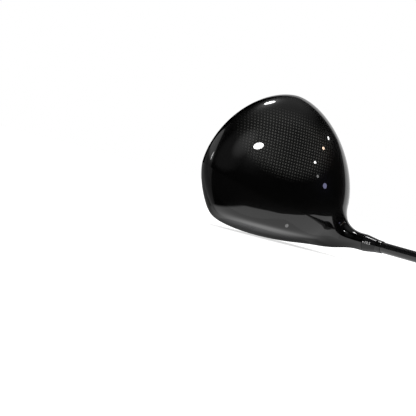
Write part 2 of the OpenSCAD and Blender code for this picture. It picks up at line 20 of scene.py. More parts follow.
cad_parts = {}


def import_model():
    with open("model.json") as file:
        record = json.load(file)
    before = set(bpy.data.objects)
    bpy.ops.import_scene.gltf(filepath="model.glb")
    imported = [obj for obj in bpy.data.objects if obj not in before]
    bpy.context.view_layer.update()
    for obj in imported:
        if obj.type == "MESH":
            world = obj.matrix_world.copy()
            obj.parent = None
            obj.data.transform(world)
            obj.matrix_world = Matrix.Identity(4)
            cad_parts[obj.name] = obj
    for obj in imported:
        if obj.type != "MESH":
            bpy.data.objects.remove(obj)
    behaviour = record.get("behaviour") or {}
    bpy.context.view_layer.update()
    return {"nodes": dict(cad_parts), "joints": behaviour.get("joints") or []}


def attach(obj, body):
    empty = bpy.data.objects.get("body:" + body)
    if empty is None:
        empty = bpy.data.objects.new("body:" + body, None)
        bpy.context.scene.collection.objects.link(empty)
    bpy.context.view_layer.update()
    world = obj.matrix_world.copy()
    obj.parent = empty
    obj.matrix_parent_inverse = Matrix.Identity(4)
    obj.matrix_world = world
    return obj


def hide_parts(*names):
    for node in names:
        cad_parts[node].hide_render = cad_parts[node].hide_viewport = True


LOG = logging.getLogger("driver")
MM = 0.001
WEIGHT_R = {"rear": 11.0, "front": 7.5}

Profile = Sequence[tuple[float, float]]
Colour = tuple[float, float, float]


# ---------------------------------------------------------------- where the club lies


@dataclass(frozen=True)
class ClubFrame:
    """The shaft's axis and the head's own axes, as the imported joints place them."""

    shaft_dir: Vector
    foot: Vector
    lie_angle: float = 58.0
    rest_roll: float = -0.7
    axis_foot_x: float = 31.4

    @classmethod
    def from_joints(cls, joints: Sequence[dict], pivot_s: float = 19.0) -> "ClubFrame":
        """Read the shaft axis from the joints.

        Args:
            joints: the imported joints.
            pivot_s: distance up the shaft of the hosel screw's pivot.

        Returns:
            The frame of the club.
        """
        named = {joint["name"]: joint for joint in joints}
        axis = Vector(named["shaft_draw"]["axis"]).normalized()
        pivot = Vector(named["hosel_screw_turn"]["pos_m"])
        return cls(shaft_dir=axis, foot=pivot - axis * pivot_s * MM)

    def pitch(self) -> float:
        """How far the shaft dips towards the butt, in radians."""
        return math.asin(-self.shaft_dir.z)

    def lean(self, roll: float) -> Matrix:
        """The turn of a club that dips by its pitch and rolls by this many degrees."""
        return Matrix.Rotation(self.pitch(), 4, "Y") @ Matrix.Rotation(math.radians(roll), 4, "X")

    def shaft_matrix(self, s: float = 0.0, turn: float = 0.0) -> Matrix:
        """Place of the shaft frame, with z up the shaft.

        Args:
            s: how far up the shaft, in millimetres.
            turn: rotation about the shaft, in degrees.

        Returns:
            The matrix from the shaft frame to the lying club.
        """
        lean = self.lean(self.rest_roll)
        up = Matrix.Rotation(math.pi / 2, 4, "Y") @ Matrix.Rotation(math.radians(turn), 4, "Z")
        return Matrix.Translation(self.foot + self.shaft_dir * s * MM) @ lean @ up

    def head_matrix(self) -> Matrix:
        """The matrix from the head frame (x to the heel, y to the rear, z to the crown) to the lying club."""
        lie = Matrix.Rotation(math.radians(self.lie_angle), 4, "Y")
        shift = Matrix.Translation((-self.axis_foot_x * MM, 0, 0))
        return Matrix.Translation(self.foot) @ self.lean(self.rest_roll + 90) @ lie @ shift


# ---------------------------------------------------------------- the head's surface


def smooth_step(t: np.ndarray) -> np.ndarray:
    """A soft step from 0 to 1 while t goes from 0 to 1."""
    t = np.clip(t, 0, 1)
    return t * t * (3 - 2 * t)


@dataclass(frozen=True)
class HeadForm:
    """The head's skin as the zero of a function of the head frame, in millimetres."""

    toe: float = 64.1
    heel: float = 60.7
    rear: float = 71.0
    front: float = 58.0
    crown_rise: float = 30.6
    sole_camber: float = 0.0029
    sole_low_y: float = 12.0
    sole_front: float = 78.0
    belt_z: float = 31.14
    belt_slope: float = 0.16
    middle_y: float = 27.0
    plan_rear: float = 1.75
    plan_front: float = 1.7
    plan_heel: float = 2.15
    crown_round: float = 2.0
    sole_round: float = 2.5
    sole_flat: float = 2.2
    edge: float = 22.0
    loft: float = 10.5
    face_radius: float = 300.0
    face_progression: float = 20.0
    face_z: float = 28.0
    face_reach: float = 44.0
    plate_half_w: float = 41.0
    plate_half_h: float = 19.5
    plate_corner: float = 0.86
    plate_skew: float = 0.14
    neck_r: float = 6.7
    neck_top: float = 75.0
    neck_blend: float = 18.0
    fade_low: float = 14.0
    fade_high: float = 46.0
    skin_scale: float = 42.0
    least_drop: float = 3.2
    club: ClubFrame = field(default=None)

    def centre(self) -> np.ndarray:
        """The middle of the head, which the skin is seen from."""
        return np.array([0.0, self.middle_y, self.belt_z - 0.14])

    def face_centre(self) -> np.ndarray:
        """The middle of the sphere that the face lies on."""
        loft = math.radians(self.loft)
        start = np.array([0, -self.face_progression + (self.face_z - 3) * math.tan(loft), self.face_z])
        return start - self.face_radius * np.array([0, -math.cos(loft), math.sin(loft)])

    def shaft_axis(self) -> tuple[np.ndarray, np.ndarray]:
        """A point on the shaft's axis and its direction, in the head frame."""
        lie = math.radians(self.club.lie_angle)
        return np.array([self.club.axis_foot_x, 0, 0]), np.array([math.cos(lie), 0, math.sin(lie)])

    def hull(self, p: np.ndarray) -> np.ndarray:
        """The head without its neck.

        Args:
            p: points, one a row.

        Returns:
            1 on the skin, and less inside it.
        """
        x, y = p[:, 0], p[:, 1] - self.middle_y
        belt = self.belt_z - self.belt_slope * y
        h = p[:, 2] - belt
        drop = np.maximum(belt - self.sole_camber * (p[:, 1] - self.sole_low_y) ** 2, self.least_drop)
        low = np.clip(-h / drop, 0, 1)
        front = self.front + (self.sole_front - self.front) * low * (2 - low)
        a = np.where(x < 0, self.toe, self.heel)
        b = np.where(y < 0, front, self.rear)
        n = np.where(y > 0, self.plan_rear, np.where(x > 0, self.plan_heel, self.plan_front))
        plan = ((np.abs(x) / a) ** n + (np.abs(y) / b) ** n) ** (1 / n)
        v = np.where(h > 0, h / self.crown_rise, -h / drop)
        over = np.sqrt(plan**self.crown_round + v * v)
        under = (plan**self.sole_round + np.abs(v) ** self.sole_flat) ** (1 / self.sole_flat)
        body = np.where(h > 0, over, under)
        away = np.linalg.norm(p - self.face_centre(), axis=1) - self.face_radius
        flat = np.maximum(0, 1 + away / self.face_reach)
        return (body**self.edge + flat**self.edge) ** (1 / self.edge)

    def level(self, p: np.ndarray) -> np.ndarray:
        """The head blended with its neck.

        Args:
            p: points, one a row.

        Returns:
            0 on the skin, and negative inside it.
        """
        foot, along = self.shaft_axis()
        q = p - foot
        s = q @ along
        fade = smooth_step((s - self.fade_low) / (self.fade_high - self.fade_low))
        neck = np.linalg.norm(q - s[:, None] * along, axis=1) - self.neck_r * fade
        head = (self.hull(p) - 1) * self.skin_scale
        near = np.maximum(self.neck_blend - np.abs(head - neck), 0) / self.neck_blend
        return np.minimum(head, neck) - near * near * self.neck_blend / 4

    def slope(self, p: np.ndarray, step: float = 0.01) -> np.ndarray:
        """How level changes along each axis.

        Args:
            p: points, one a row.
            step: half of the distance over which the change is taken.

        Returns:
            One gradient a row.
        """
        moves = step * np.eye(3)
        return np.stack([(self.level(p + m) - self.level(p - m)) / (2 * step) for m in moves], axis=1)

    def settle(self, p: np.ndarray, rounds: int = 5) -> np.ndarray:
        """Points moved onto the skin along its slope.

        Args:
            p: points, one a row.
            rounds: how often they are moved.

        Returns:
            One point of the skin a row.
        """
        for _ in range(rounds):
            g = self.slope(p)
            p = p - (self.level(p) / np.maximum((g * g).sum(axis=1), 1e-9))[:, None] * g
        return p

    def normals(self, p: np.ndarray) -> np.ndarray:
        """Unit normals of the skin at points on it."""
        g = self.slope(p)
        return g / np.maximum(np.linalg.norm(g, axis=1), 1e-9)[:, None]

    def from_centre(self, directions: np.ndarray) -> np.ndarray:
        """Where rays from the centre meet the head without its neck.

        Args:
            directions: unit vectors, one a row.

        Returns:
            One point of the skin a row.
        """
        low, high = np.full(len(directions), 5.0), np.full(len(directions), 130.0)
        for _ in range(30):
            mid = (low + high) / 2
            inside = self.hull(self.centre() + directions * mid[:, None]) < 1
            low, high = np.where(inside, mid, low), np.where(inside, high, mid)
        return self.centre() + directions * low[:, None]

    def seam(self, azimuth: np.ndarray) -> np.ndarray:
        """Elevation of the crown's seam seen from the centre, in degrees, at azimuths in degrees."""
        share = (1 - np.sin(np.radians(azimuth))) / 2
        return -4 + 14 * share + 40 * share**4

    def plate_edge(self, angle: np.ndarray, gap: float) -> np.ndarray:
        """Points of the face plate's outline, on the plane of the face.

        Args:
            angle: angles round the plate, in degrees.
            gap: how far the outline is drawn in.

        Returns:
            One point a row.
        """
        c, s = np.cos(np.radians(angle)), np.sin(np.radians(angle))
        across, up = (np.sign(v) * np.abs(v) ** self.plate_corner for v in (c, s))
        x = (self.plate_half_w - gap) * across - 1
        z = self.face_z + 1 + (self.plate_half_h - gap) * up * (1 - self.plate_skew * c)
        y = -self.face_progression + (z - 3) * math.tan(math.radians(self.loft))
        return np.stack([x, y, z], axis=1)


# ---------------------------------------------------------------- the workbench


class Cut(Enum):
    """What a boolean modifier does."""

    TAKE_AWAY = "DIFFERENCE"
    KEEP_COMMON = "INTERSECT"
    ADD = "UNION"


class Bench:
    """Modelling steps that every piece shares."""

    @staticmethod
    def only(*objects: bpy.types.Object) -> None:
        """Select these objects and nothing else, the first one active.

        Args:
            objects: what is selected.
        """
        bpy.ops.object.select_all(action="DESELECT")
        for thing in objects:
            thing.select_set(True)
        bpy.context.view_layer.objects.active = objects[0]

    @staticmethod
    def start(primitive_add: Callable[..., set], **settings: object) -> bpy.types.Object:
        """Start a piece from a primitive, with nothing else selected.

        Args:
            primitive_add: the operator that adds the primitive.
            settings: the operator's settings.

        Returns:
            The new object.
        """
        bpy.ops.object.select_all(action="DESELECT")
        primitive_add(**settings)
        return bpy.context.object

    @staticmethod
    @contextmanager
    def editing(thing: bpy.types.Object) -> Iterator[None]:
        """Edit mode on one object, with all of it selected.

        Args:
            thing: the object that is edited.
        """
        Bench.only(thing)
        bpy.ops.object.mode_set(mode="EDIT")
        bpy.ops.mesh.select_all(action="SELECT")
        yield
        bpy.ops.object.mode_set(mode="OBJECT")

    @staticmethod
    def points(thing: bpy.types.Object) -> np.ndarray:
        """The vertices of a mesh in its own frame, in millimetres.

        Args:
            thing: the object.

        Returns:
            One point a row.
        """
        co = np.empty(len(thing.data.vertices) * 3)
        thing.data.vertices.foreach_get("co", co)
        return co.reshape(-1, 3) / MM

    @staticmethod
    def move_points(thing: bpy.types.Object, points: np.ndarray) -> None:
        """Put the vertices of a mesh at these places, in millimetres."""
        thing.data.vertices.foreach_set("co", (points * MM).ravel())
        thing.data.update()

    @staticmethod
    def modify(thing: bpy.types.Object, kind: str, **settings: object) -> None:
        """Add a modifier with these settings and apply it.

        Args:
            thing: the object that is changed.
            kind: the modifier's type.
            settings: the modifier's attributes.
        """
        Bench.only(thing)
        modifier = thing.modifiers.new(kind.title(), kind)
        for name, value in settings.items():
            setattr(modifier, name, value)
        bpy.ops.object.modifier_apply(modifier=modifier.name)

    @staticmethod
    def cut(thing: bpy.types.Object, tool: bpy.types.Object, how: Cut, keep: bool = False) -> None:
        """Cut one closed mesh with another.

        Args:
            thing: the mesh that is changed.
            tool: the mesh that cuts.
            how: what is kept.
            keep: whether the tool is used again.
        """
        Bench.modify(thing, "BOOLEAN", operation=how.value, solver="MANIFOLD", object=tool)
        if not keep:
            Bench.discard(tool)

    @staticmethod
    def discard(thing: bpy.types.Object) -> None:
        """Remove an object and its mesh."""
        mesh = thing.data
        bpy.data.objects.remove(thing)
        bpy.data.meshes.remove(mesh)

    @staticmethod
    def copy(thing: bpy.types.Object, name: str) -> bpy.types.Object:
        """A copy with its own mesh.

        Args:
            thing: what is copied.
            name: the copy's name.

        Returns:
            The copy.
        """
        twin = thing.copy()
        twin.data = thing.data.copy()
        twin.name = twin.data.name = name
        bpy.context.scene.collection.objects.link(twin)
        return twin

    @staticmethod
    def place(thing: bpy.types.Object, matrix: Matrix) -> None:
        """Move a piece to its place, and keep the place in its mesh.

        Args:
            thing: the piece.
            matrix: its place.
        """
        Bench.only(thing)
        thing.matrix_world = matrix
        bpy.ops.object.transform_apply(location=True, rotation=True, scale=True)

    @staticmethod
    def smooth(thing: bpy.types.Object, angle: float = 35.0) -> None:
        """Smooth shading, with edges sharper than the angle left sharp."""
        Bench.only(thing)
        bpy.ops.object.shade_smooth_by_angle(angle=math.radians(angle))

    @staticmethod
    def turned(name: str, profile: Profile, sides: int = 96, ring: bool = False) -> bpy.types.Object:
        """A piece turned about z, extruded and resized ring by ring.

        Args:
            name: the piece's name.
            profile: (radius, height) points, from end to end.
            sides: how many sides each ring has.
            ring: whether the profile closes on itself, instead of having a cap at each end.

        Returns:
            The closed piece.
        """
        radius, height = profile[0]
        piece = Bench.start(
            bpy.ops.mesh.primitive_circle_add, vertices=sides, radius=radius * MM, fill_type="NOTHING")
        piece.name = piece.data.name = name
        with Bench.editing(piece):
            bpy.ops.transform.translate(value=(0, 0, height * MM))
            if not ring:
                bpy.ops.mesh.edge_face_add()
                bpy.ops.mesh.select_mode(type="EDGE")
            for r, z in [*profile[1:], *([profile[0]] if ring else [])]:
                rise = {"value": (0, 0, (z - height) * MM)}
                bpy.ops.mesh.extrude_region_move(TRANSFORM_OT_translate=rise)
                bpy.ops.transform.resize(value=(r / radius, r / radius, 1), center_override=(0, 0, 0))
                radius, height = r, z
            bpy.ops.mesh.select_mode(type="VERT")
            bpy.ops.mesh.select_all(action="SELECT")
            bpy.ops.mesh.remove_doubles(threshold=1e-7)
            bpy.ops.mesh.normals_make_consistent(inside=False)
        return piece

    @staticmethod
    def rod(radius: float, low: float, high: float, sides: int = 96) -> bpy.types.Object:
        """A round cutting tool about z, from one height to another.

        Args:
            radius: the tool's radius.
            low: height of its lower end.
            high: height of its upper end.
            sides: how many sides it has.

        Returns:
            The tool.
        """
        tool = Bench.start(
            bpy.ops.mesh.primitive_cylinder_add, vertices=sides, radius=radius * MM, depth=(high - low) * MM)
        Bench.place(tool, Matrix.Translation((0, 0, (high + low) / 2 * MM)))
        return tool

    @staticmethod
    def hexagon(across: float, low: float, high: float) -> bpy.types.Object:
        """A six-sided cutting tool about z, given across its corners."""
        return Bench.rod(across / 2, low, high, sides=6)


# ---------------------------------------------------------------- shader maths


class Term:
    """A shader value that Python's operators turn into Math nodes."""

    def __init__(self, graph: "Graph", socket: bpy.types.NodeSocket) -> None:
        """Wrap one output socket of a graph."""
        self.graph = graph
        self.socket = socket

    def math(self, operation: str, *others: object) -> "Term":
        """A Math node on this value and others."""
        return self.graph.node("ShaderNodeMath", {"operation": operation}, dict(enumerate([self, *others])))

    def __add__(self, other: object) -> "Term":
        """Sum."""
        return self.math("ADD", other)

    __radd__ = __add__

    def __mul__(self, other: object) -> "Term":
        """Product."""
        return self.math("MULTIPLY", other)

    __rmul__ = __mul__

    def __sub__(self, other: object) -> "Term":
        """Difference."""
        return self.math("SUBTRACT", other)

    def __rsub__(self, other: object) -> "Term":
        """Difference, from a number."""
        return self.math("MULTIPLY", -1.0).math("ADD", other)

    def __truediv__(self, other: object) -> "Term":
        """Quotient."""
        return self.math("DIVIDE", other)

    def __pow__(self, other: object) -> "Term":
        """Power."""
        return self.math("POWER", other)

    def __gt__(self, other: object) -> "Term":
        """1 where this value is the larger one."""
        return self.math("GREATER_THAN", other)

    def sine(self) -> "Term":
        """Sine of an angle in radians."""
        return self.math("SINE")

    def whole(self) -> "Term":
        """The whole number below the value."""
        return self.math("FLOOR")

    def part(self) -> "Term":
        """What is left over the whole number below."""
        return self.math("FRACT")

    def modulo(self, other: float) -> "Term":
        """What is left of the value after whole multiples of a number."""
        return self.math("FLOORED_MODULO", other)

    def ramp(self, low: float, high: float) -> "Term":
        """A soft step from 0 to 1 while the value goes from low to high, which may be the smaller one.

        Args:
            low: the value at which the step is 0.
            high: the value at which it is 1.

        Returns:
            The step.
        """
        settings = {"interpolation_type": "SMOOTHSTEP"}
        inputs = {"Value": self, "From Min": min(low, high), "From Max": max(low, high)}
        out = self.graph.node("ShaderNodeMapRange", settings, inputs)
        return 1 - out if low > high else out


class Graph:
    """The node tree of one material, world or lamp."""

    def __init__(self, tree: bpy.types.NodeTree) -> None:
        """Start from an empty tree."""
        self.tree = tree
        tree.nodes.clear()

    def node(self, kind: str, settings: dict | None = None, inputs: dict | None = None,
             out: object = 0) -> Term:
        """Add a node.

        Args:
            kind: the node's type.
            settings: attributes of the node, set first.
            inputs: values or links for its sockets, by name or number.
            out: which output the result stands for.

        Returns:
            The chosen output.
        """
        made = self.tree.nodes.new(kind)
        for name, value in (settings or {}).items():
            setattr(made, name, value)
        for key, value in (inputs or {}).items():
            if isinstance(value, Term):
                self.tree.links.new(value.socket, made.inputs[key])
            else:
                made.inputs[key].default_value = value
        return Term(self, made.outputs[out] if len(made.outputs) else None)

    def places(self) -> Term:
        """Object coordinates, in metres."""
        return self.node("ShaderNodeTexCoord", out="Object")

    def along(self, vector: Term, direction: Sequence[float], start: Sequence[float] = (0, 0, 0)) -> Term:
        """How far a place lies from a start in a direction, in millimetres."""
        moved = self.node("ShaderNodeVectorMath", {"operation": "SUBTRACT"}, {0: vector, 1: tuple(start)})
        return self.dot(moved, tuple(component / MM for component in direction))

    def dot(self, vector: Term, direction: Sequence[float]) -> Term:
        """The share of a vector that points in a direction."""
        settings = {"operation": "DOT_PRODUCT"}
        return self.node("ShaderNodeVectorMath", settings, {0: vector, 1: direction}, out="Value")

    def mix(self, share: Term, first: object, second: object) -> Term:
        """A colour between two colours.

        Args:
            share: 0 for the first colour and 1 for the second.
            first: a colour, or a value that holds one.
            second: the same.

        Returns:
            The mixed colour.
        """
        settings = {"data_type": "RGBA"}
        first, second = ((*c, 1.0) if isinstance(c, tuple) else c for c in (first, second))
        return self.node("ShaderNodeMix", settings, {0: share, 6: first, 7: second}, out=2)

    def noise(self, vector: Term, scale: float, detail: float = 2.0, rough: float = 0.5) -> Term:
        """Smooth noise from 0 to 1; scale counts its waves in a metre."""
        inputs = {"Vector": vector, "Scale": scale, "Detail": detail, "Roughness": rough}
        return self.node("ShaderNodeTexNoise", {}, inputs)

    def bump(self, height: Term, strength: float, depth: float) -> Term:
        """A normal bent by a height; depth is the height's full size in millimetres."""
        inputs = {"Strength": strength, "Distance": depth * MM, "Height": height}
        return self.node("ShaderNodeBump", {}, inputs)

    def surface(self, inputs: dict) -> None:
        """Close the tree with a Principled shader."""
        shader = self.node("ShaderNodeBsdfPrincipled", {}, inputs)
        self.node("ShaderNodeOutputMaterial", {}, {"Surface": shader})


@dataclass(frozen=True)
class Finish:
    """A plain finish: colour with faint clouding, roughness with wear, and a fine grain."""

    name: str
    colour: Colour
    roughness: float
    metallic: float = 0.0
    coat: float = 0.0
    specular: float = 0.5
    grain: float = 0.0
    grain_scale: float = 4000.0
    clouding: float = 0.15
    haze: float = 0.05

    def make(self) -> bpy.types.Material:
        """The material of this finish."""
        material = bpy.data.materials.new(self.name)
        material.use_nodes = True
        graph = Graph(material.node_tree)
        graph.surface(self.inputs(graph))
        return material

    def base(self) -> dict:
        """The constants, set on the shader's own sockets."""
        return {
            "Metallic": self.metallic, "Specular IOR Level": self.specular,
            "Coat Weight": self.coat, "Coat Roughness": 0.015,
        }

    def inputs(self, graph: Graph) -> dict:
        """What the shader's sockets get.

        Args:
            graph: the tree that the nodes are added to.

        Returns:
            Values and links by socket.
        """
        places = graph.places()
        cloud = graph.noise(places, 70.0, 4.0)
        dark = tuple(c * (1 - self.clouding) for c in self.colour)
        light = tuple(c * (1 + self.clouding) for c in self.colour)
        wiped = graph.noise(places, 260.0, 3.0)
        made = self.base() | {
            "Base Color": graph.mix(cloud.ramp(0.3, 0.7), dark, light),
            "Roughness": self.roughness + self.haze * (wiped - 0.5),
        }
        if self.grain:
            made["Normal"] = graph.bump(graph.noise(places, self.grain_scale, 2.0), 1.0, self.grain)
        return made


@dataclass(frozen=True)
class HeadFinish(Finish):
    """A finish that is laid out in the head's own axes."""

    club: ClubFrame = field(default=None)

    def across(self, graph: Graph, axis: int) -> Term:
        """How far a place lies along one axis of the head, in millimetres."""
        matrix = self.club.head_matrix()
        return graph.along(graph.places(), matrix.col[axis][:3], tuple(matrix.translation))


@dataclass(frozen=True)
class DottedLacquer(HeadFinish):
    """Black lacquer with a small grey alignment dot behind the face."""

    dot_at: tuple[float, float] = (4.0, -3.3)
    dot_r: float = 1.4
    dot_colour: Colour = (0.17, 0.17, 0.17)
    dot_edge: float = 0.15
    dot_above: float = 40.0

    def inputs(self, graph: Graph) -> dict:
        """The dot, over the plain lacquer.

        Args:
            graph: the tree that the nodes are added to.

        Returns:
            Values and links by socket.
        """
        made = super().inputs(graph)
        x, y, z = (self.across(graph, axis) for axis in range(3))
        out = ((x - self.dot_at[0]) ** 2.0 + (y - self.dot_at[1]) ** 2.0) ** 0.5
        dot = out.ramp(self.dot_r + self.dot_edge, self.dot_r - self.dot_edge) * (z > self.dot_above)
        made["Base Color"] = graph.mix(dot, made["Base Color"], self.dot_colour)
        return made


@dataclass(frozen=True)
class WovenCrown(HeadFinish):
    """Woven carbon under clear coat that fades into solid black; its bright tows are painted glints of the
    fibres.
    """

    tow: float = 1.6
    # thread is the colour of a tow where it glints, a painted highlight of the fibres; gap is the dark
    # between the tows
    thread: Colour = (0.055, 0.055, 0.052)
    gap: Colour = (0.003, 0.003, 0.003)
    # middle, reach and fade give the patch where the weave shows: partly the real fade into black paint,
    # partly a painted sheen where the lamps fall
    middle: tuple[float, float] = (-8.5, 57.5)
    reach: tuple[float, float] = (41.0, 28.0)
    fade: tuple[float, float] = (1.05, 0.62)
    strands: int = 7
    weft_glint_share: float = 0.12
    relief: float = 0.09

    def inputs(self, graph: Graph) -> dict:
        """The weave with its painted glints, and its fade, which is partly a painted sheen.

        Args:
            graph: the tree that the nodes are added to.

        Returns:
            Values and links by socket.
        """
        made = super().inputs(graph)
        x, y = self.across(graph, 0), self.across(graph, 1)
        warp, weft = (x + y) / (math.sqrt(2) * self.tow), (x - y) / (math.sqrt(2) * self.tow)
        over = (warp.whole() + weft.whole()).modulo(2.0) > 0.5
        across = warp.part() * over + weft.part() * (1 - over)
        lengthwise = weft.part() * over + warp.part() * (1 - over)
        crown = 1 - (across * 2 - 1) ** 2.0
        rise = 1 - (lengthwise * 2 - 1) ** 2.0
        strand = (across * (2 * math.pi * self.strands)).sine() * 0.12
        height = crown * 0.5 + rise * 0.5 + strand
        away_x = (x - self.middle[0]) / self.reach[0]
        away_y = (y - self.middle[1]) / self.reach[1]
        away = (away_x * away_x + away_y * away_y) ** 0.5
        # the weave's patch: partly the real fade into black paint, partly painted sheen round the lamps'
        # reflections
        sheen_and_fade = away.ramp(*self.fade)
        # painted glint: each tow is brightest along its middle, and the warp far more than the weft, as if
        # lamps caught the fibres
        lit = (crown * rise).ramp(0.1, 0.8) * (self.weft_glint_share + (1 - self.weft_glint_share) * over)
        woven = graph.mix(lit, self.gap, self.thread)
        made["Base Color"] = graph.mix(sheen_and_fade, made["Base Color"], woven)
        made["Normal"] = graph.bump(height * sheen_and_fade, 0.6, self.relief)
        return made


@dataclass(frozen=True)
class TurnedMetal(Finish):
    """Metal with the fine rings that a lathe leaves about an axis."""

    centre: Vector = field(default=None)
    axis: Vector = field(default=None)
    pitch: float = 0.18
    groove: float = 0.012

    def inputs(self, graph: Graph) -> dict:
        """Fine rings about the axis, over the plain finish.

        Args:
            graph: the tree that the nodes are added to.

        Returns:
            Values and links by socket.
        """
        made = super().inputs(graph)
        places = graph.places()
        out = [graph.along(places, side, self.centre) for side in self.sides()]
        radius = (out[0] * out[0] + out[1] * out[1]) ** 0.5
        rings = (radius * (2 * math.pi / self.pitch)).sine() * 0.5 + 0.5
        made["Normal"] = graph.bump(rings + graph.noise(places, 3000.0, 2.0), 0.5, self.groove)
        return made

    def sides(self) -> tuple[Vector, Vector]:
        """Two directions square to the axis."""
        first = self.axis.orthogonal().normalized()
        return first, self.axis.cross(first).normalized()


@dataclass(frozen=True)
class BrushedFace(HeadFinish):
    """The face plate: fine milled arcs across the face."""

    mill_pitch: float = 0.45
    mill_depth: float = 0.015
    mill_bow: float = 0.004

    def inputs(self, graph: Graph) -> dict:
        """Milled lines from sole to crown, over the plain finish.

        Args:
            graph: the tree that the nodes are added to.

        Returns:
            Values and links by socket.
        """
        made = super().inputs(graph)
        x, z = self.across(graph, 0), self.across(graph, 2)
        bow = x + z * z * self.mill_bow
        mills = (bow * (2 * math.pi / self.mill_pitch)).sine() * 0.5 + 0.5
        made["Normal"] = graph.bump(mills, 0.5, self.mill_depth)
        return made


@dataclass(frozen=True)
class MouldedRubber(Finish):
    """Rubber with a fine mould grain and a worn, slightly paler top."""

    worn: Colour = (0.045, 0.045, 0.044)

    def inputs(self, graph: Graph) -> dict:
        """Grain and patches of wear.

        Args:
            graph: the tree that the nodes are added to.

        Returns:
            Values and links by socket.
        """
        made = super().inputs(graph)
        places = graph.places()
        wear = graph.noise(places, 45.0, 5.0, 0.65).ramp(0.48, 0.75)
        made["Base Color"] = graph.mix(wear * 0.6, self.colour, self.worn)
        made["Roughness"] = self.roughness - wear * 0.12
        return made


# ---------------------------------------------------------------- pieces


class Piece:
    """A finished piece: it rides on a body and may stand for CAD nodes."""

    @staticmethod
    def done(thing: bpy.types.Object, body: str, material: bpy.types.Material, slot: str,
             replaces: Sequence[str] = ()) -> None:
        """Dress a piece and hand it to its body.

        Args:
            thing: the piece, in its place.
            body: the body that it moves with.
            material: its finish.
            slot: the record's material slot; not used.
            replaces: CAD nodes that it stands for.
        """
        thing.data.materials.clear()
        thing.data.materials.append(material)
        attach(thing, body)
        if replaces:
            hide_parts(*replaces)
        LOG.info("%s: %d faces, rides on %s", thing.name, len(thing.data.polygons), body)


@dataclass
class OnShaft:
    """A sub-assembly that lies on the shaft's axis and moves with the shaft."""

    club: ClubFrame

    def fit(self, thing: bpy.types.Object, finish: bpy.types.Material, node: str, angle: float) -> None:
        """Lay a piece along the shaft, shade it and hand it over.

        Args:
            thing: the piece, made about z from the shaft's foot.
            finish: its material.
            node: the CAD node that it stands for.
            angle: edges sharper than this stay sharp, in degrees.
        """
        Bench.place(thing, self.club.shaft_matrix())
        Bench.smooth(thing, angle)
        Piece.done(thing, "shaft_assembly", finish, node, [node])


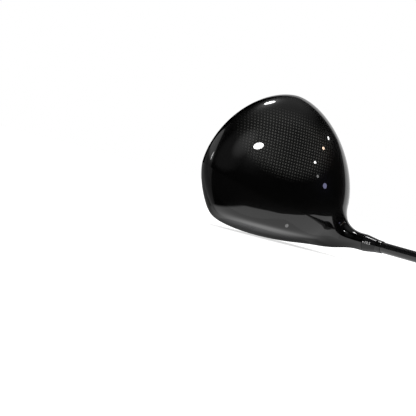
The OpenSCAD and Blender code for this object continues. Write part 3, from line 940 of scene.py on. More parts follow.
@dataclass
class Head:
    """The cast shell with its neck, the woven crown and the face plate."""

    club: ClubFrame
    form: HeadForm
    wall: float = 0.8
    crown_t: float = 0.9
    plate_t: float = 3.0
    seam_gap: float = 0.06
    plate_gap: float = 0.05
    voxel: float = 0.85
    inner_voxel: float = 1.4
    port_r: float = 5.5
    bore_r: float = 5.0
    bore_floor: float = 26.0
    web_t: float = 3.0
    tube_wall: float = 1.1
    shank_r: float = 2.75
    neck_clear: float = 10.5
    trim_r: float = 14.0
    far: float = 125.0
    skin_near: float = 0.02
    score_depth: float = 0.25
    score_w: float = 0.7
    score_gap: float = 4.2
    score_reach: float = 33.0
    score_bare: float = 12.0

    def outer(self) -> bpy.types.Object:
        """The whole skin, head and neck, as one closed mesh in the head frame.

        Returns:
            A closed mesh.
        """
        head = Bench.start(bpy.ops.mesh.primitive_uv_sphere_add, segments=96, ring_count=48, radius=1)
        rays = Bench.points(head)
        Bench.move_points(head, self.form.from_centre(rays / np.linalg.norm(rays, axis=1)[:, None]))
        top = self.form.neck_top
        neck = self.beside_axis(Bench.rod(self.form.neck_r, 40, top + 3))
        Bench.only(head, neck)
        bpy.ops.object.join()
        Bench.modify(head, "REMESH", mode="VOXEL", voxel_size=self.voxel * MM)
        Bench.move_points(head, self.form.settle(Bench.points(head)))
        Bench.cut(head, self.beside_axis(Bench.rod(self.trim_r, top, top + 9)), Cut.TAKE_AWAY)
        return head

    def beside_axis(self, tool: bpy.types.Object) -> bpy.types.Object:
        """Lay a tool that was made about z along the shaft's axis, in the head frame.

        Args:
            tool: the tool.

        Returns:
            The same tool, in its place.
        """
        foot, _ = self.form.shaft_axis()
        turn = Matrix.Rotation(math.pi / 2 - math.radians(self.club.lie_angle), 4, "Y")
        Bench.place(tool, Matrix.Translation(Vector(foot) * MM) @ turn)
        return tool

    def inner(self, skin: bpy.types.Object, depth: float) -> bpy.types.Object:
        """The inside of a wall: the skin drawn in by the wall's thickness.

        Args:
            skin: the whole skin.
            depth: the wall's thickness.

        Returns:
            A closed mesh.
        """
        core = Bench.copy(skin, "core")
        p = Bench.points(core)
        Bench.move_points(core, p - depth * self.form.normals(p))
        Bench.modify(core, "REMESH", mode="VOXEL", voxel_size=self.inner_voxel * MM)
        return core

    def crown_tool(self, over: float, aside: float) -> bpy.types.Object:
        """What lies over the crown's seam, as a closed fan from the middle of the head.

        Args:
            over: how far over the seam it starts, in degrees.
            aside: how far it stays from the neck's axis.

        Returns:
            A cutting tool.
        """
        size = {"radius1": 1, "radius2": 0, "depth": 1}
        tool = Bench.start(
            bpy.ops.mesh.primitive_cone_add, vertices=192, end_fill_type="TRIFAN", **size)
        p = Bench.points(tool) * MM
        ring = np.hypot(p[:, 0], p[:, 1]) > 0.5
        tip = ~ring & (p[:, 2] > 0)
        azimuth = np.degrees(np.arctan2(p[:, 1], p[:, 0]))
        lift = np.radians(self.form.seam(azimuth) + over)
        flat = np.radians(azimuth)
        rays = np.stack([np.cos(lift) * np.cos(flat), np.cos(lift) * np.sin(flat), np.sin(lift)], axis=1)
        placed = np.where(ring[:, None], self.form.centre() + self.far * rays, self.form.centre())
        placed[~ring & ~tip] = self.form.centre() + [0, 0, self.far + 40]
        Bench.move_points(tool, placed)
        with Bench.editing(tool):
            bpy.ops.mesh.normals_make_consistent(inside=False)
        Bench.cut(tool, self.beside_axis(Bench.rod(aside, 20, 140)), Cut.TAKE_AWAY)
        return tool

    def plate_tool(self, gap: float) -> bpy.types.Object:
        """The face plate's outline, swept through the wall from the middle of the head.

        Args:
            gap: how far the outline is drawn in.

        Returns:
            A cutting tool.
        """
        size = {"radius": 1, "depth": 2}
        tool = Bench.start(
            bpy.ops.mesh.primitive_cylinder_add, vertices=128, end_fill_type="TRIFAN", **size)
        p = Bench.points(tool) * MM
        ring = np.hypot(p[:, 0], p[:, 1]) > 0.5
        edge = self.form.plate_edge(np.degrees(np.arctan2(p[:, 1], p[:, 0])), gap)
        middle = self.form.plate_edge(np.array([90.0, 270.0]), gap).mean(axis=0)
        aim = np.where(ring[:, None], edge, middle)
        share = np.where(p[:, 2] > 0, 1.4, 0.6)[:, None]
        Bench.move_points(tool, self.form.centre() + share * (aim - self.form.centre()))
        with Bench.editing(tool):
            bpy.ops.mesh.normals_make_consistent(inside=False)
        return tool

    def hold_normals(self, thing: bpy.types.Object) -> None:
        """Give the faces that lie on the skin its exact normals, so that reflections run smoothly.

        Args:
            thing: a part of the head, in its place on the lying club.
        """
        to_head = np.array(self.club.head_matrix().inverted())
        mesh = thing.data
        world = Bench.points(thing)
        p = world @ to_head[:3, :3].T + to_head[:3, 3] / MM
        on_skin = np.abs(self.form.level(p)) < self.skin_near
        normals = self.form.normals(p) @ to_head[:3, :3]
        vertices = np.empty(len(mesh.loops), dtype=np.int32)
        mesh.loops.foreach_get("vertex_index", vertices)
        totals = np.empty(len(mesh.polygons), dtype=np.int32)
        mesh.polygons.foreach_get("loop_total", totals)
        owner = np.repeat(np.arange(len(totals)), totals)
        outside = np.bincount(owner, weights=~on_skin[vertices]) == 0
        chosen = np.where(outside[owner][:, None], normals[vertices], 0.0)
        mesh.normals_split_custom_set([tuple(n) for n in chosen])

    def build(self, weights: Sequence["SoleWeight"], finishes: "Finishes") -> None:
        """Model the three pieces and hand them over.

        Args:
            weights: the weights that the sole gets pockets for.
            finishes: the club's finishes.
        """
        skin = self.outer()
        LOG.info("skin: %d faces", len(skin.data.polygons))
        self.build_face(skin, finishes)
        self.build_crown(skin, finishes)
        self.build_body(skin, weights, finishes)

    def build_crown(self, skin: bpy.types.Object, finishes: "Finishes") -> None:
        """The crown panel, cut from the skin and hollowed from inside.

        Args:
            skin: the whole skin, in the head frame.
            finishes: the club's finishes.
        """
        crown = Bench.copy(skin, "crown_skin")
        Bench.cut(crown, self.crown_tool(self.seam_gap, self.neck_clear), Cut.KEEP_COMMON)
        Bench.cut(crown, self.inner(skin, self.crown_t), Cut.TAKE_AWAY)
        self.finish_part(crown)
        Piece.done(crown, "head", finishes.crown, "crown_panel", ["crown_panel"])

    def build_face(self, skin: bpy.types.Object, finishes: "Finishes") -> None:
        """The face plate, with score lines to either side of its bare middle.

        Args:
            skin: the whole skin, in the head frame.
            finishes: the club's finishes.
        """
        face = Bench.copy(skin, "face_insert")
        Bench.cut(face, self.plate_tool(self.plate_gap), Cut.KEEP_COMMON)
        Bench.cut(face, self.inner(skin, self.plate_t), Cut.TAKE_AWAY)
        for tool in self.score_tools():
            Bench.cut(face, tool, Cut.TAKE_AWAY)
        self.finish_part(face)
        Piece.done(face, "head", finishes.face, "face_plate", ["face_plate"])

    def score_tools(self) -> list[bpy.types.Object]:
        """Bars that cut the score lines, shorter towards the top and the bottom.

        Returns:
            The bars, in the head frame.
        """
        tools = []
        for row in range(-3, 4):
            z = self.form.face_z + 1 + row * self.score_gap
            length = self.score_reach - 1.6 * row * row - self.score_bare
            for side in (-1, 1):
                bar = Bench.start(bpy.ops.mesh.primitive_cube_add, size=1)
                x = side * (self.score_bare + length / 2) - 1
                scale = Matrix.Diagonal((length * MM, 2 * MM, self.score_w * MM, 1))
                middle = Vector((x, self.face_y(x, z) - 1 + self.score_depth, z)) * MM
                Bench.place(bar, Matrix.Translation(middle) @ scale)
                tools.append(bar)
        return tools

    def face_y(self, x: float, z: float) -> float:
        """Where the face lies behind the leading edge at a width and a height."""
        c = self.form.face_centre()
        return c[1] - math.sqrt(self.form.face_radius**2 - (x - c[0]) ** 2 - (z - c[2]) ** 2)

    def build_body(
            self, skin: bpy.types.Object, weights: Sequence["SoleWeight"], finishes: "Finishes") -> None:
        """The cast shell: hollow, open for the crown and the face, with its bores and bosses.

        Args:
            skin: the whole skin, which becomes the shell.
            weights: the weights that the sole gets pockets for.
            finishes: the club's finishes.
        """
        body = skin
        body.name = body.data.name = "head_shell"
        hollow = self.inner(skin, self.wall)
        tube = self.beside_axis(Bench.rod(self.port_r + self.tube_wall, 0, 90))
        Bench.cut(hollow, tube, Cut.TAKE_AWAY)
        for weight in weights:
            Bench.cut(hollow, weight.boss(), Cut.TAKE_AWAY)
        Bench.cut(body, self.crown_tool(0, self.neck_clear - self.seam_gap), Cut.TAKE_AWAY)
        Bench.cut(body, self.plate_tool(0), Cut.TAKE_AWAY)
        Bench.cut(body, hollow, Cut.TAKE_AWAY)
        seat = self.bore_floor - self.web_t
        bores = (self.bore_r, self.bore_floor, 90), (self.shank_r, 10, 60), (self.port_r, 0, seat)
        for radius, low, high in bores:
            Bench.cut(body, self.beside_axis(Bench.rod(radius, low, high)), Cut.TAKE_AWAY)
        for weight in weights:
            for tool in weight.pocket():
                Bench.cut(body, tool, Cut.TAKE_AWAY)
        self.finish_part(body)
        Piece.done(body, "head", finishes.body, "body", ["body"])

    def finish_part(self, part: bpy.types.Object) -> None:
        """Put a part of the head in its place with its final shading."""
        Bench.place(part, self.club.head_matrix())
        Bench.smooth(part)
        self.hold_normals(part)


@dataclass
class Screw:
    """A socket-head screw about its own axis, with a real helical thread."""

    name: str
    head_r: float
    head_l: float
    length: float
    socket_depth: float
    socket: float = 5.0
    thread_r: float = 2.5
    pitch: float = 0.8
    depth: float = 0.42

    def build(self) -> bpy.types.Object:
        """The screw with its head's outer face at z = 0 and its shank towards +z.

        Returns:
            The screw, about its own axis.
        """
        edge, step = 0.35, self.pitch / 6
        count = int((self.length - self.head_l - 1.2) / step)
        start = self.head_l + 0.7
        rings = [(self.thread_r, start + i * step) for i in range(count)]
        root = self.thread_r - self.depth
        profile = [
            (self.head_r - edge - 0.2, 0), (self.head_r - edge, 0), (self.head_r, edge),
            (self.head_r, self.head_l - edge), (self.head_r - edge, self.head_l),
            (self.thread_r + 0.1, self.head_l), (root + 0.1, self.head_l + 0.35), *rings,
            (root, self.length - 0.25), (root - 0.5, self.length)]
        screw = Bench.turned(self.name, profile, sides=48)
        p = Bench.points(screw)
        radius = np.hypot(p[:, 0], p[:, 1])
        on_thread = (np.abs(radius - self.thread_r) < 0.01) & (p[:, 2] > start - 0.01)
        phase = (p[:, 2] / self.pitch - np.arctan2(p[:, 1], p[:, 0]) / (2 * math.pi)) % 1
        crest = 1 - np.abs(2 * phase - 1)
        taper = smooth_step((p[:, 2] - start) / 0.8) * smooth_step((self.length - 0.25 - p[:, 2]) / 1.2)
        new_r = root + self.depth * np.clip(1.35 * crest, 0, 1) * taper
        scale = np.where(on_thread, new_r / np.maximum(radius, 1e-6), 1.0)
        p[:, :2] *= scale[:, None]
        Bench.move_points(screw, p)
        Bench.cut(screw, Bench.hexagon(self.socket, -1, self.socket_depth), Cut.TAKE_AWAY)
        return screw


@dataclass
class SoleWeight:
    """A round weight in the sole with its screw, and the pocket that holds them."""

    name: str
    body: str
    screw_body: str
    radius: float
    club: ClubFrame
    point: Vector
    inward: Vector
    thickness: float = 4.6
    inset: float = 0.9
    clear: float = 0.15
    gasket: float = 0.8
    thread: float = 8.0
    run_out: float = 0.8
    boss_wall: float = 1.2
    thread_wall: float = 2.2
    tapped_r: float = 2.55
    head_r: float = 4.2
    head_l: float = 2.6
    head_in: float = 1.4

    @classmethod
    def from_joint(
            cls, joints: Sequence[dict], side: str, radius: float, club: ClubFrame) -> "SoleWeight":
        """A weight at the place and along the axis of its screw's joint.

        Args:
            joints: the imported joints.
            side: rear or front.
            radius: the weight's radius.
            club: the club's frame.

        Returns:
            The weight.
        """
        joint = next(j for j in joints if j["name"] == f"{side}_weight_turn")
        return cls(f"{side}_weight", f"{side}_slug", f"{side}_bolt", radius, club,
                   Vector(joint["pos_m"]), -Vector(joint["axis"]).normalized())

    def matrix(self) -> Matrix:
        """Where the weight's own frame lies, with z pointing into the head."""
        turn = self.inward.to_track_quat("Z", "Y").to_matrix().to_4x4()
        return Matrix.Translation(self.point) @ turn

    def in_head(self, tool: bpy.types.Object) -> bpy.types.Object:
        """Lay a tool that was made about z into the sole, in the head frame."""
        Bench.place(tool, self.club.head_matrix().inverted() @ self.matrix())
        return tool

    def gasket_in(self) -> float:
        """Depth of the pocket's floor."""
        return self.inset + self.thickness + self.gasket

    def boss(self) -> bpy.types.Object:
        """The metal round the pocket and round the thread, as one solid.

        Returns:
            A cutting tool for the hollow, in the head frame.
        """
        outer, depth = self.radius + self.clear + self.boss_wall, self.gasket_in()
        inner = self.tapped_r + self.thread_wall
        step, end = depth + self.boss_wall, depth + self.thread + self.run_out + self.boss_wall
        profile = [(outer, -3), (outer, step), (inner, step), (inner, end)]
        return self.in_head(Bench.turned("boss", profile))

    def pocket(self) -> list[bpy.types.Object]:
        """The pocket and the tapped hole, as cutting tools.

        Returns:
            Two tools, in the head frame.
        """
        depth = self.gasket_in()
        wide = Bench.rod(self.radius + self.clear, -6, depth)
        narrow = Bench.rod(self.tapped_r, 0, depth + self.thread + self.run_out)
        return [self.in_head(tool) for tool in (wide, narrow)]

    def build(self, finishes: "Finishes") -> None:
        """Model the slug and its screw and hand them over.

        Args:
            finishes: the club's finishes.
        """
        edge, r, low = 0.8, self.radius, self.inset
        high, bore, seat = self.inset + self.thickness, self.tapped_r + 0.2, self.head_in + self.head_l
        recess = self.head_r + 0.2
        profile = [
            (recess, low), (r - edge - 1.2, low), (r - edge - 1.0, low + 0.18), (r - edge - 0.5, low + 0.18),
            (r - edge - 0.3, low), (r - edge, low), (r - 0.25, low + 0.3), (r, low + edge), (r, high - 0.2),
            (r - 0.2, high), (bore, high), (bore, seat), (recess, seat)]
        slug = Bench.turned(f"{self.name}_slug", profile, ring=True)
        for side in (-1, 1):
            dimple = Bench.rod(0.8, low - 1, low + 0.6, sides=48)
            Bench.place(dimple, Matrix.Translation((side * (r + self.head_r) / 2 * MM, 0, 0)))
            Bench.cut(slug, dimple, Cut.TAKE_AWAY)
        Bench.place(slug, self.matrix())
        Bench.smooth(slug)
        metal = TurnedMetal(
            f"{self.name} metal", (0.26, 0.265, 0.28), 0.3, 1.0, centre=self.point, axis=self.inward)
        Piece.done(slug, self.body, metal.make(), self.name, [self.name])
        length = self.gasket_in() + self.thread - self.head_in
        screw = Screw(
            f"{self.name}_bolt", head_r=self.head_r, head_l=self.head_l, length=length,
            socket_depth=1.9).build()
        Bench.place(screw, self.matrix() @ Matrix.Translation((0, 0, self.head_in * MM)))
        Bench.smooth(screw)
        Piece.done(screw, self.screw_body, finishes.dark_steel, f"{self.name}_screw", [f"{self.name}_screw"])


@dataclass
class Hosel(OnShaft):
    """The adjustable sleeve, its ferrule, its marks and the screw that pulls it down."""

    neck_r: float = 6.7
    neck_top: float = 75.05
    sleeve_foot: float = 40.0
    sleeve_r: float = 4.95
    bore_r: float = 4.3
    collar_h: float = 11.5
    collar_top_r: float = 5.15
    rim: float = 0.7
    splines: int = 12
    spline_h: float = 0.55
    spline_w: float = 1.2
    spline_l: float = 8.0
    ferrule_h: float = 4.5
    ferrule_top_r: float = 4.8
    screw_foot: float = 17.2
    screw_tip: float = 49.0
    mark_turn: float = -91.4
    number_size: float = 3.1
    number_s: float = 4.9
    print_t: float = 0.02
    index_r: float = 0.36
    index_stretch: float = 2.2
    index_s: float = 1.25
    lip_in: float = 0.12
    cone_in: float = 0.25

    def collar_r(self, s: float) -> float:
        """Radius of the collar's cone at a place on the shaft axis.

        Args:
            s: distance up the shaft.

        Returns:
            The radius.
        """
        low, high = self.neck_top + 2, self.neck_top + self.collar_h - self.rim
        if s < low:
            return self.neck_r - self.lip_in - (self.cone_in - self.lip_in) * max(0.0, 1 - (low - s) / 1.2)
        share = min(1.0, (s - low) / (high - low))
        return self.neck_r - self.cone_in + (self.collar_top_r - self.neck_r + self.cone_in) * share

    def build(self, finishes: "Finishes") -> None:
        """Model the pieces and hand them over.

        Args:
            finishes: the club's finishes.
        """
        self.build_sleeve(finishes)
        self.build_ferrule(finishes)
        self.build_mark(finishes)
        self.build_index(finishes)
        screw = Screw(
            "hosel_bolt_steel", head_r=4.4, head_l=4.48, length=self.screw_tip - self.screw_foot,
            socket_depth=3.0).build()
        Bench.place(screw, self.club.shaft_matrix(self.screw_foot))
        Bench.smooth(screw)
        Piece.done(screw, "hosel_bolt", finishes.steel, "hosel_screw", ["hosel_screw"])

    def build_sleeve(self, finishes: "Finishes") -> None:
        """The sleeve: a straight barrel, a ring of splines and a tapered collar.

        Args:
            finishes: the club's finishes.
        """
        base, top = self.neck_top, self.neck_top + self.collar_h
        cone = [(self.collar_r(base + 2 + i), base + 2 + i) for i in range(8)]
        profile = [
            (self.bore_r, self.sleeve_foot), (self.sleeve_r - 0.5, self.sleeve_foot),
            (self.sleeve_r, self.sleeve_foot + 0.5), (self.sleeve_r, base), (self.neck_r - 0.4, base),
            (self.neck_r - 0.18, base + 0.08), (self.neck_r - 0.1, base + 0.3),
            (self.neck_r - self.lip_in, base + 0.8), *cone,
            (self.collar_top_r, top - self.rim), (self.collar_top_r - 0.12, top - self.rim + 0.08),
            (self.collar_top_r - 0.12, top - 0.1), (self.collar_top_r - 0.2, top), (self.bore_r, top)]
        sleeve = Bench.turned("sleeve_barrel", profile, ring=True)
        for i in range(self.splines):
            Bench.cut(sleeve, self.spline(i), Cut.ADD)
        self.fit(sleeve, finishes.anodised, "hosel_sleeve", 35)

    def spline(self, i: int) -> bpy.types.Object:
        """One spline with bevelled edges, at its place round the sleeve.

        Args:
            i: its number round the sleeve.

        Returns:
            The spline.
        """
        bar = Bench.start(bpy.ops.mesh.primitive_cube_add, size=1)
        inside, sunk = self.bore_r + 0.2, 0.2
        reach, out = self.sleeve_r + self.spline_h - inside, self.sleeve_r + self.spline_h + inside
        size = Matrix.Diagonal((reach * MM, self.spline_w * MM, (self.spline_l + sunk) * MM, 1))
        middle = Matrix.Translation((out / 2 * MM, 0, (self.neck_top - self.spline_l / 2 + sunk / 2) * MM))
        Bench.place(bar, middle @ size)
        Bench.modify(bar, "BEVEL", width=0.15 * MM, segments=2)
        Bench.place(bar, Matrix.Rotation(2 * math.pi * i / self.splines, 4, "Z"))
        return bar

    def build_ferrule(self, finishes: "Finishes") -> None:
        """The ferrule: a short tapered ring with soft edges.

        Args:
            finishes: the club's finishes.
        """
        low, r, high_r = self.neck_top + self.collar_h, self.collar_top_r - 0.05, self.ferrule_top_r
        high = low + self.ferrule_h
        profile = [
            (self.bore_r, low), (r - 0.1, low), (r, low + 0.1), (r, low + 0.6), (r - 0.02, low + 0.9),
            ((r + high_r) / 2, low + 2.4), (high_r, high - 0.5), (high_r - 0.05, high - 0.25),
            (high_r - 0.2, high), (self.bore_r, high)]
        ferrule = Bench.turned("ferrule_ring", profile, ring=True)
        self.fit(ferrule, finishes.gloss_black, "ferrule", 60)

    def build_mark(self, finishes: "Finishes") -> None:
        """The plain loft number printed on the sleeve's collar.

        Args:
            finishes: the club's finishes.
        """
        bpy.ops.object.select_all(action="DESELECT")
        bpy.ops.object.text_add()
        text = bpy.context.object
        text.data.body, text.data.size = "10.5", self.number_size * MM
        text.data.align_x, text.data.align_y = "CENTER", "CENTER"
        text.data.extrude = self.print_t * MM
        bpy.ops.object.convert(target="MESH")
        mark = bpy.context.object
        mark.name = mark.data.name = "loft_number"
        Bench.modify(mark, "SUBSURF", subdivision_type="SIMPLE", levels=1, render_levels=1)
        self.wrap(mark, self.neck_top + self.number_s)
        Bench.place(mark, self.club.shaft_matrix())
        Piece.done(mark, "shaft_assembly", finishes.print_white, "hosel_sleeve")

    def build_index(self, finishes: "Finishes") -> None:
        """The short index line that shows which setting of the sleeve is in use.

        Args:
            finishes: the club's finishes.
        """
        size = {"radius": self.index_r * MM, "depth": 2 * self.print_t * MM}
        mark = Bench.start(bpy.ops.mesh.primitive_cylinder_add, vertices=48, end_fill_type="TRIFAN", **size)
        mark.name = mark.data.name = "index_mark"
        Bench.move_points(mark, Bench.points(mark) * (self.index_stretch, 1.0, 1.0))
        self.wrap(mark, self.neck_top + self.index_s)
        Bench.place(mark, self.club.shaft_matrix())
        Piece.done(mark, "shaft_assembly", finishes.print_white, "hosel_sleeve")

    def wrap(self, mark: bpy.types.Object, s: float) -> None:
        """Wrap a flat mark round the collar, so that it reads along the shaft.

        Args:
            mark: a flat mark that reads along x.
            s: where its middle goes, up the shaft.
        """
        p = Bench.points(mark)
        place = s + p[:, 0]
        radius = np.array([self.collar_r(value) for value in place]) + self.print_t + p[:, 2]
        angle = math.radians(self.mark_turn) - p[:, 1] / self.neck_r
        wrapped = np.stack([radius * np.cos(angle), radius * np.sin(angle), place], axis=1)
        Bench.move_points(mark, wrapped)


@dataclass
class ShaftAndGrip(OnShaft):
    """The tapered shaft, the patterned grip and its cap."""

    tip_s: float = 55.5
    tip_r: float = 4.25
    butt_r: float = 7.6
    parallel: float = 76.0
    wall: float = 1.4
    length: float = 1150.0
    cap_h: float = 7.0
    grip_l: float = 267.0
    mouth_r: float = 9.6
    grip_r: float = 13.2
    cap_r: float = 13.7
    vent_r: float = 1.5
    skin: float = 0.29
    lozenges: int = 16
    lozenge_l: float = 7.0
    press_depth: float = 0.32
    band_l: float = 82.0
    fade_l: float = 3.0

    def shaft_r(self, s: float) -> float:
        """Outer radius of the shaft at a place on its axis.

        Args:
            s: distance up the shaft.

        Returns:
            The radius.
        """
        start, end = self.tip_s + self.parallel, self.length - self.cap_h - 1
        share = min(1.0, max(0.0, (s - start) / (end - start)))
        return self.tip_r + (self.butt_r - self.tip_r) * share

    def build(self, finishes: "Finishes") -> None:
        """Model the pieces and hand them over.

        Args:
            finishes: the club's finishes.
        """
        self.build_shaft(finishes)
        self.build_grip(finishes)
        self.build_cap(finishes)

    def build_shaft(self, finishes: "Finishes") -> None:
        """The shaft: a tube in one long taper.

        Args:
            finishes: the club's finishes.
        """
        stops = np.linspace(self.tip_s, self.length - self.cap_h - 1, 40)
        outside = [(self.shaft_r(s), s) for s in stops]
        inside = [(self.shaft_r(s) - self.wall, s) for s in stops[::-4]]
        shaft = Bench.turned("shaft_tube", [*outside, *inside], sides=64, ring=True)
        self.fit(shaft, finishes.shaft, "shaft", 50)

    def build_grip(self, finishes: "Finishes") -> None:
        """The grip: a tapered sleeve with a moulded pattern of rows of small lozenges.

        Args:
            finishes: the club's finishes.
        """
        low, high = self.length - self.grip_l, self.length - self.cap_h
        outside = [(self.grip_radius(s), s) for s in np.linspace(low + 4, high, 221)]
        mouth = [
            (self.shaft_r(low) + self.skin, low), (self.mouth_r - 0.6, low), (self.mouth_r - 0.15, low + 0.3),
            (self.mouth_r, low + 0.8), (self.mouth_r, low + 2.2)]
        back = [(self.butt_r + self.skin, high), (self.butt_r + self.skin, high - 1)]
        grip = Bench.turned("grip_sleeve", [*mouth, *outside, *back], sides=96, ring=True)
        Bench.move_points(grip, self.patterned(Bench.points(grip), low + 12, high - 3))
        self.fit(grip, finishes.rubber, "grip", 60)

    def grip_radius(self, s: float) -> float:
        """Outer radius of the grip at a place on the shaft axis."""
        low, high = self.length - self.grip_l + 4, self.length - self.cap_h
        return self.mouth_r + (self.grip_r - self.mouth_r) * (s - low) / (high - low)

    def patterned(self, p: np.ndarray, low: float, high: float) -> np.ndarray:
        """Press the pattern into the points of the grip's outside.

        Args:
            p: the grip's points in the shaft frame.
            low: where the pattern starts.
            high: where it ends.

        Returns:
            The points with the pattern.
        """
        radius = np.hypot(p[:, 0], p[:, 1])
        turn = np.arctan2(p[:, 1], p[:, 0]) / (2 * math.pi)
        outside = radius > self.mouth_r - 0.05
        u, v = turn * self.lozenges, (p[:, 2] - low) / self.lozenge_l
        lozenge = np.abs((u + v) % 1 - 0.5) + np.abs((u - v) % 1 - 0.5)
        groove = smooth_step((lozenge - 0.55) / 0.25)
        ends = smooth_step((p[:, 2] - low) / self.fade_l) * smooth_step((high - p[:, 2]) / self.fade_l)
        bands = 1 - smooth_step(np.abs((p[:, 2] - low) % self.band_l - self.band_l / 2) / 2.2 - 15.5)
        press = self.press_depth * groove * ends * np.where(outside, 1, 0) * bands
        scale = (radius - press) / np.maximum(radius, 1e-6)
        return np.column_stack([p[:, 0] * scale, p[:, 1] * scale, p[:, 2]])

    def build_cap(self, finishes: "Finishes") -> None:
        """The cap: a domed rim, two shallow rings on its end and a vent.

        Args:
            finishes: the club's finishes.
        """
        low, high, r, edge, sunk = self.length - self.cap_h, self.length, self.cap_r, 3.0, 0.25
        arc = [(r - edge + edge * math.cos(a), high - edge + edge * math.sin(a))
               for a in np.radians(np.linspace(0, 90, 9))]
        rings = [
            (8.6, high), (8.4, high - sunk), (7.8, high - sunk), (7.6, high),
            (4.4, high), (4.2, high - sunk), (3.8, high - sunk), (3.6, high)]
        profile = [
            (self.vent_r, low), (r - 0.4, low), (r - 0.05, low + 0.15), (r, low + 0.5), *arc, *rings,
            (self.vent_r + 0.2, high), (self.vent_r, high - 0.2)]
        cap = Bench.turned("cap_rubber", profile, ring=True)
        self.fit(cap, finishes.cap, "grip_cap", 30)


class Finishes:
    """Every finish that more than one piece, or a CAD node, takes."""

    def __init__(self, club: ClubFrame) -> None:
        """Make the materials.

        Args:
            club: the frame that the head's finishes are laid out in.
        """
        black = (0.0005, 0.0005, 0.0005)
        clear = {"coat": 1.0, "clouding": 0.1, "club": club}
        self.body = DottedLacquer("black lacquer", black, 0.25, specular=0.0, **clear).make()
        self.crown = WovenCrown("woven crown", black, 0.3, specular=0.1, **clear).make()
        self.face = BrushedFace("face steel", (0.05, 0.051, 0.054), 0.38, 0.9, club=club).make()
        self.gloss_black = Finish(
            "ferrule plastic", (0.002, 0.002, 0.002), 0.12, coat=0.6, specular=0.2).make()
        self.anodised = Finish(
            "anodised black", (0.005, 0.005, 0.0055), 0.16, coat=0.2, specular=0.25, grain=0.002).make()
        self.shaft = Finish(
            "shaft lacquer", (0.004, 0.004, 0.0045), 0.22, coat=0.6, specular=0.3, clouding=0.25).make()
        self.steel = Finish("screw steel", (0.36, 0.36, 0.38), 0.3, 1.0, grain=0.004).make()
        self.dark_steel = Finish("black oxide steel", (0.09, 0.09, 0.1), 0.36, 0.9, grain=0.004).make()
        self.rubber = MouldedRubber(
            "grip rubber", (0.016, 0.016, 0.017), 0.62, grain=0.03, grain_scale=2600).make()
        self.cap = MouldedRubber(
            "cap rubber", (0.02, 0.02, 0.021), 0.55, grain=0.02, grain_scale=2600).make()
        self.print_white = Finish("printed white", (0.62, 0.62, 0.62), 0.5, clouding=0.03).make()
        self.inner = {
            "crown_bond": Finish("bond", (0.36, 0.33, 0.26), 0.6, grain=0.05, grain_scale=900),
            "hosel_screw_retainer": Finish("nylon", (0.72, 0.71, 0.66), 0.45, grain=0.01),
            "hosel_screw_washer": Finish("washer steel", (0.5, 0.51, 0.53), 0.32, 1.0, grain=0.006),
            "sleeve_thread_insert": Finish("brass", (0.6, 0.42, 0.16), 0.28, 1.0, grain=0.006),
            "shaft_tip_plug": Finish(
                "cork", (0.5, 0.36, 0.2), 0.85, grain=0.15, grain_scale=700, clouding=0.4),
            "grip_tape": Finish("paper tape", (0.66, 0.64, 0.56), 0.8, grain=0.05, grain_scale=1800),
            "rear_weight_gasket": Finish("gasket rubber", (0.012, 0.012, 0.012), 0.7, grain=0.02),
            "front_weight_gasket": Finish("gasket rubber", (0.012, 0.012, 0.012), 0.7, grain=0.02),
        }

    def dress_inner(self, nodes: dict[str, bpy.types.Object]) -> None:
        """Give the CAD nodes that stay inside the club their materials.

        Args:
            nodes: the CAD nodes by name.
        """
        for name, finish in self.inner.items():
            nodes[name].data.materials.clear()
            nodes[name].data.materials.append(finish.make())
            LOG.info("%s: CAD node, %s", name, finish.name)


# ---------------------------------------------------------------- studio


def compass(azimuth: float, elevation: float) -> tuple[float, float, float]:
    """The unit vector at an azimuth from +X and an elevation over the horizon, in degrees."""
    az, el = math.radians(azimuth), math.radians(elevation)
    return math.cos(el) * math.cos(az), math.cos(el) * math.sin(az), math.sin(el)


@dataclass(frozen=True)
class Lamp:
    """A round lamp, placed by its direction from the head."""

    azimuth: float
    elevation: float
    width: float
    height: float
    radiance: float
    colour: Colour = (1.0, 1.0, 1.0)
    distance: float = 1.3

    def place(self, aim: Vector) -> None:
        """Hang the lamp where its reflection falls on the crown.

        Args:
            aim: what the lamp points at.
        """
        out = Vector(compass(self.azimuth, self.elevation))
        wide, high = (2 * self.distance * math.tan(math.radians(a / 2)) for a in (self.width, self.height))
        data = bpy.data.lights.new("lamp", "AREA")
        data.shape, data.size, data.size_y = "ELLIPSE", wide, high
        data.energy = self.radiance * math.pi * wide * high * math.pi / 4
        data.color = self.colour
        lamp = bpy.data.objects.new("lamp", data)
        lamp.location = aim + out * self.distance
        lamp.rotation_euler = (-out).to_track_quat("-Z", "Y").to_euler()
        bpy.context.scene.collection.objects.link(lamp)


@dataclass(frozen=True)
class Wall:
    """A pale round part of the room, given by its direction and half of its angular width."""

    azimuth: float
    elevation: float
    half: float
    strength: float
    soft: float = 0.01

    def mask(self, graph: Graph, sky: Term) -> Term:
        """How much of the wall a ray of the world's tree meets, up to the wall's strength.

        Args:
            graph: the world's tree.
            sky: the direction of the ray.

        Returns:
            The mask.
        """
        edge = math.cos(math.radians(self.half))
        cosine = graph.dot(sky, compass(self.azimuth, self.elevation))
        return cosine.ramp(edge - self.soft, edge + self.soft) * self.strength


@dataclass(frozen=True)
class FloorEdge:
    """A straight edge on the floor: pale on the side that its direction points to."""

    direction: tuple[float, float, float]
    start: tuple[float, float, float]
    soft: float = 5.0

    def mask(self, graph: Graph, places: Term) -> Term:
        """1 on the pale side and 0 on the other."""
        return graph.along(places, self.direction, self.start).ramp(-self.soft, self.soft)


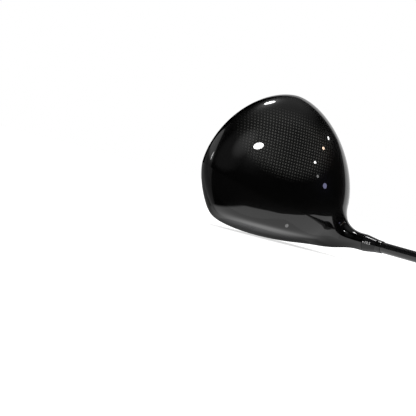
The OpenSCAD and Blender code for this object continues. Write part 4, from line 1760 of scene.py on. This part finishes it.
@dataclass(frozen=True)
class Studio:
    """A pale floor, soft light all round, and a few lamps that show in the gloss."""

    aim: Vector
    lamps: tuple[Lamp, ...] = (
        Lamp(-180.0, 72.1, 8.0, 9.5, 30.0),
        Lamp(-48.6, 41.1, 8.6, 4.9, 42.0),
        Lamp(55.8, 40.7, 4.0, 1.6, 24.0),
        Lamp(32.9, 38.5, 3.4, 1.5, 24.0, (1.0, 0.74, 0.55)),
        Lamp(14.3, 31.7, 2.4, 1.4, 30.0),
        Lamp(15.0, 25.1, 2.2, 1.5, 4.0),
        Lamp(23.2, 20.4, 4.8, 3.0, 5.0, (0.6, 0.6, 1.0)),
        Lamp(-135.5, 18.5, 3.0, 9.0, 12.0),
    )
    walls: tuple[Wall, ...] = (Wall(90.0, 2.0, 24.0, 0.9), Wall(118.0, 25.0, 24.0, 0.8))
    toe_wall: Wall = Wall(-156.0, 5.0, 31.0, 1.0)
    toe_strength: tuple[float, float] = (0.15, 0.65)
    high_sky: Wall = Wall(0.0, 90.0, 75.0, 1.0, 0.05)
    veils: tuple[Wall, ...] = (
        Wall(60.0, 84.0, 26.0, 0.28, 0.12),
        Wall(-70.0, 43.0, 9.0, 0.5, 0.02),
        Wall(-90.0, 30.0, 22.0, 0.1, 0.06))
    floor_size: float = 12.0
    near_edges: tuple[FloorEdge, ...] = (
        FloorEdge((0, 1, 0), (0, -0.085, 0)), FloorEdge((-0.264, 0.965, 0), (-0.414, -0.085, 0)),
        FloorEdge((0.427, 0.904, 0), (-0.524, -0.078, 0), 4.0))
    toe_edge: FloorEdge = FloorEdge((-0.897, 0.441, 0), (-0.599, -0.084, 0))
    # painted shadow: in reflections the floor darkens across this edge, on the head's side
    painted_contact_shadow: FloorEdge = FloorEdge((0.707, -0.707, 0), (-0.549, -0.013, 0), 18.0)
    painted_shadow_level: float = 0.064
    toe_sheet: float = 0.13
    floor_colour: Colour = (0.86, 0.86, 0.86)
    floor_glow: tuple[float, float] = (0.18, 0.63)  # to the pieces, to the camera
    floor_mirrored: tuple[float, float] = (0.02, 1.27)  # far away, near the head
    world_light: float = 0.72
    dark: float = 0.001

    def build(self) -> None:
        """Make the floor, the world and the lamps."""
        self.build_floor()
        self.build_world()
        for lamp in self.lamps:
            lamp.place(self.aim)

    def build_floor(self) -> None:
        """A wide pale floor. In reflections it is pale near the head and dark far away, with a painted shadow
        towards where the head rests.
        """
        floor = Bench.start(bpy.ops.mesh.primitive_plane_add, size=self.floor_size)
        floor.name = "floor"
        material = bpy.data.materials.new("floor")
        material.use_nodes = True
        graph = Graph(material.node_tree)
        places = graph.places()
        # painted shadow: the floor seen in reflections is dimmed near the head's contact
        mirrored = self.painted_shadow_level + (1 - self.painted_shadow_level) * self.painted_contact_shadow.mask(graph, places)
        for edge in self.near_edges:
            mirrored = mirrored * edge.mask(graph, places)
        mirrored = mirrored.math("MAXIMUM", self.toe_sheet * self.toe_edge.mask(graph, places))
        glossy = graph.node("ShaderNodeLightPath", out="Is Glossy Ray")
        seen = graph.node("ShaderNodeLightPath", out="Is Camera Ray")
        matt = graph.node("ShaderNodeBsdfDiffuse", {}, {"Color": (*self.floor_colour, 1)})
        dim, bright, far, sheet = (
            graph.node("ShaderNodeEmission", {}, {"Color": (1, 1, 1, 1), "Strength": strength})
            for strength in (*self.floor_glow, *self.floor_mirrored))
        glow = graph.node("ShaderNodeMixShader", {}, {0: seen, 1: dim, 2: bright})
        lit = graph.node("ShaderNodeAddShader", {}, {0: matt, 1: glow})
        sheet = graph.node("ShaderNodeMixShader", {}, {0: mirrored, 1: far, 2: sheet})
        surface = graph.node("ShaderNodeMixShader", {}, {0: glossy, 1: lit, 2: sheet})
        graph.node("ShaderNodeOutputMaterial", {}, {"Surface": surface})
        floor.data.materials.append(material)

    def build_world(self) -> None:
        """White to the camera, even grey for light, and dark with a few pale walls in reflections."""
        world = bpy.data.worlds.new("studio")
        bpy.context.scene.world = world
        world.use_nodes = True
        graph = Graph(world.node_tree)
        sky = graph.node("ShaderNodeTexCoord", out="Generated")
        low, high = self.toe_strength
        walls = self.toe_wall.mask(graph, sky) * (low + (high - low) * self.high_sky.mask(graph, sky))
        for wall in self.walls:
            walls = walls.math("MAXIMUM", wall.mask(graph, sky))
        for veil in self.veils:
            walls = walls + veil.mask(graph, sky)
        camera = graph.node("ShaderNodeLightPath", out="Is Camera Ray")
        glossy = graph.node("ShaderNodeLightPath", out="Is Glossy Ray")
        plain = self.world_light * (1 - camera) * (1 - glossy)
        strength = plain + camera + glossy * (self.dark + walls)
        shader = graph.node("ShaderNodeBackground", {}, {"Color": (1, 1, 1, 1), "Strength": strength})
        graph.node("ShaderNodeOutputWorld", {}, {"Surface": shader})


@dataclass(frozen=True)
class Viewpoint:
    """The camera, given by its swing about the head, its tilt and its roll."""

    club: ClubFrame
    look_at: tuple[float, float, float] = (0.0, 28.0, 31.0)
    swing: float = 20.52
    tilt: float = -1.0
    roll: float = 15.43
    distance: float = 1000.0
    lens: float = 110.06
    shift: tuple[float, float] = (-0.1712, -0.0629)

    def aim(self) -> Vector:
        """The place on the lying club that the camera is swung about, in metres."""
        return self.club.head_matrix() @ (Vector(self.look_at) * MM)

    def build(self) -> None:
        """Make the camera."""
        swing, tilt, roll = (math.radians(angle) for angle in (self.swing, self.tilt, self.roll))
        out = Vector((-math.sin(swing) * math.cos(tilt), math.sin(tilt), math.cos(swing) * math.cos(tilt)))
        side = Vector((math.cos(swing), 0, math.sin(swing)))
        side = (side - side.project(out)).normalized()
        up = out.cross(side)
        right = side * math.cos(roll) + up * math.sin(roll)
        top = up * math.cos(roll) - side * math.sin(roll)
        head = self.club.head_matrix()
        turn = head.to_3x3() @ Matrix((right, top, out)).transposed()
        place = head @ ((Vector(self.look_at) + out * self.distance) * MM)
        data = bpy.data.cameras.new("camera")
        data.lens, data.sensor_width = self.lens, 36.0
        data.shift_x, data.shift_y = self.shift
        data.clip_start, data.clip_end = 0.05, 50.0
        camera = bpy.data.objects.new("camera", data)
        camera.matrix_world = Matrix.Translation(place) @ turn.to_4x4()
        bpy.context.scene.collection.objects.link(camera)
        bpy.context.scene.camera = camera


def main() -> None:
    """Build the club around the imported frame."""
    logging.basicConfig(level=logging.INFO, format="%(message)s")
    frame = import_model()
    bpy.context.scene.view_settings.view_transform = "Standard"
    club = ClubFrame.from_joints(frame["joints"])
    form = HeadForm(club=club)
    finishes = Finishes(club)
    finishes.dress_inner(frame["nodes"])
    weights = [SoleWeight.from_joint(frame["joints"], side, r, club) for side, r in WEIGHT_R.items()]
    Head(club, form).build(weights, finishes)
    for weight in weights:
        weight.build(finishes)
    Hosel(club).build(finishes)
    ShaftAndGrip(club).build(finishes)
    view = Viewpoint(club)
    Studio(view.aim()).build()
    view.build()


if __name__ == "__main__":
    main()
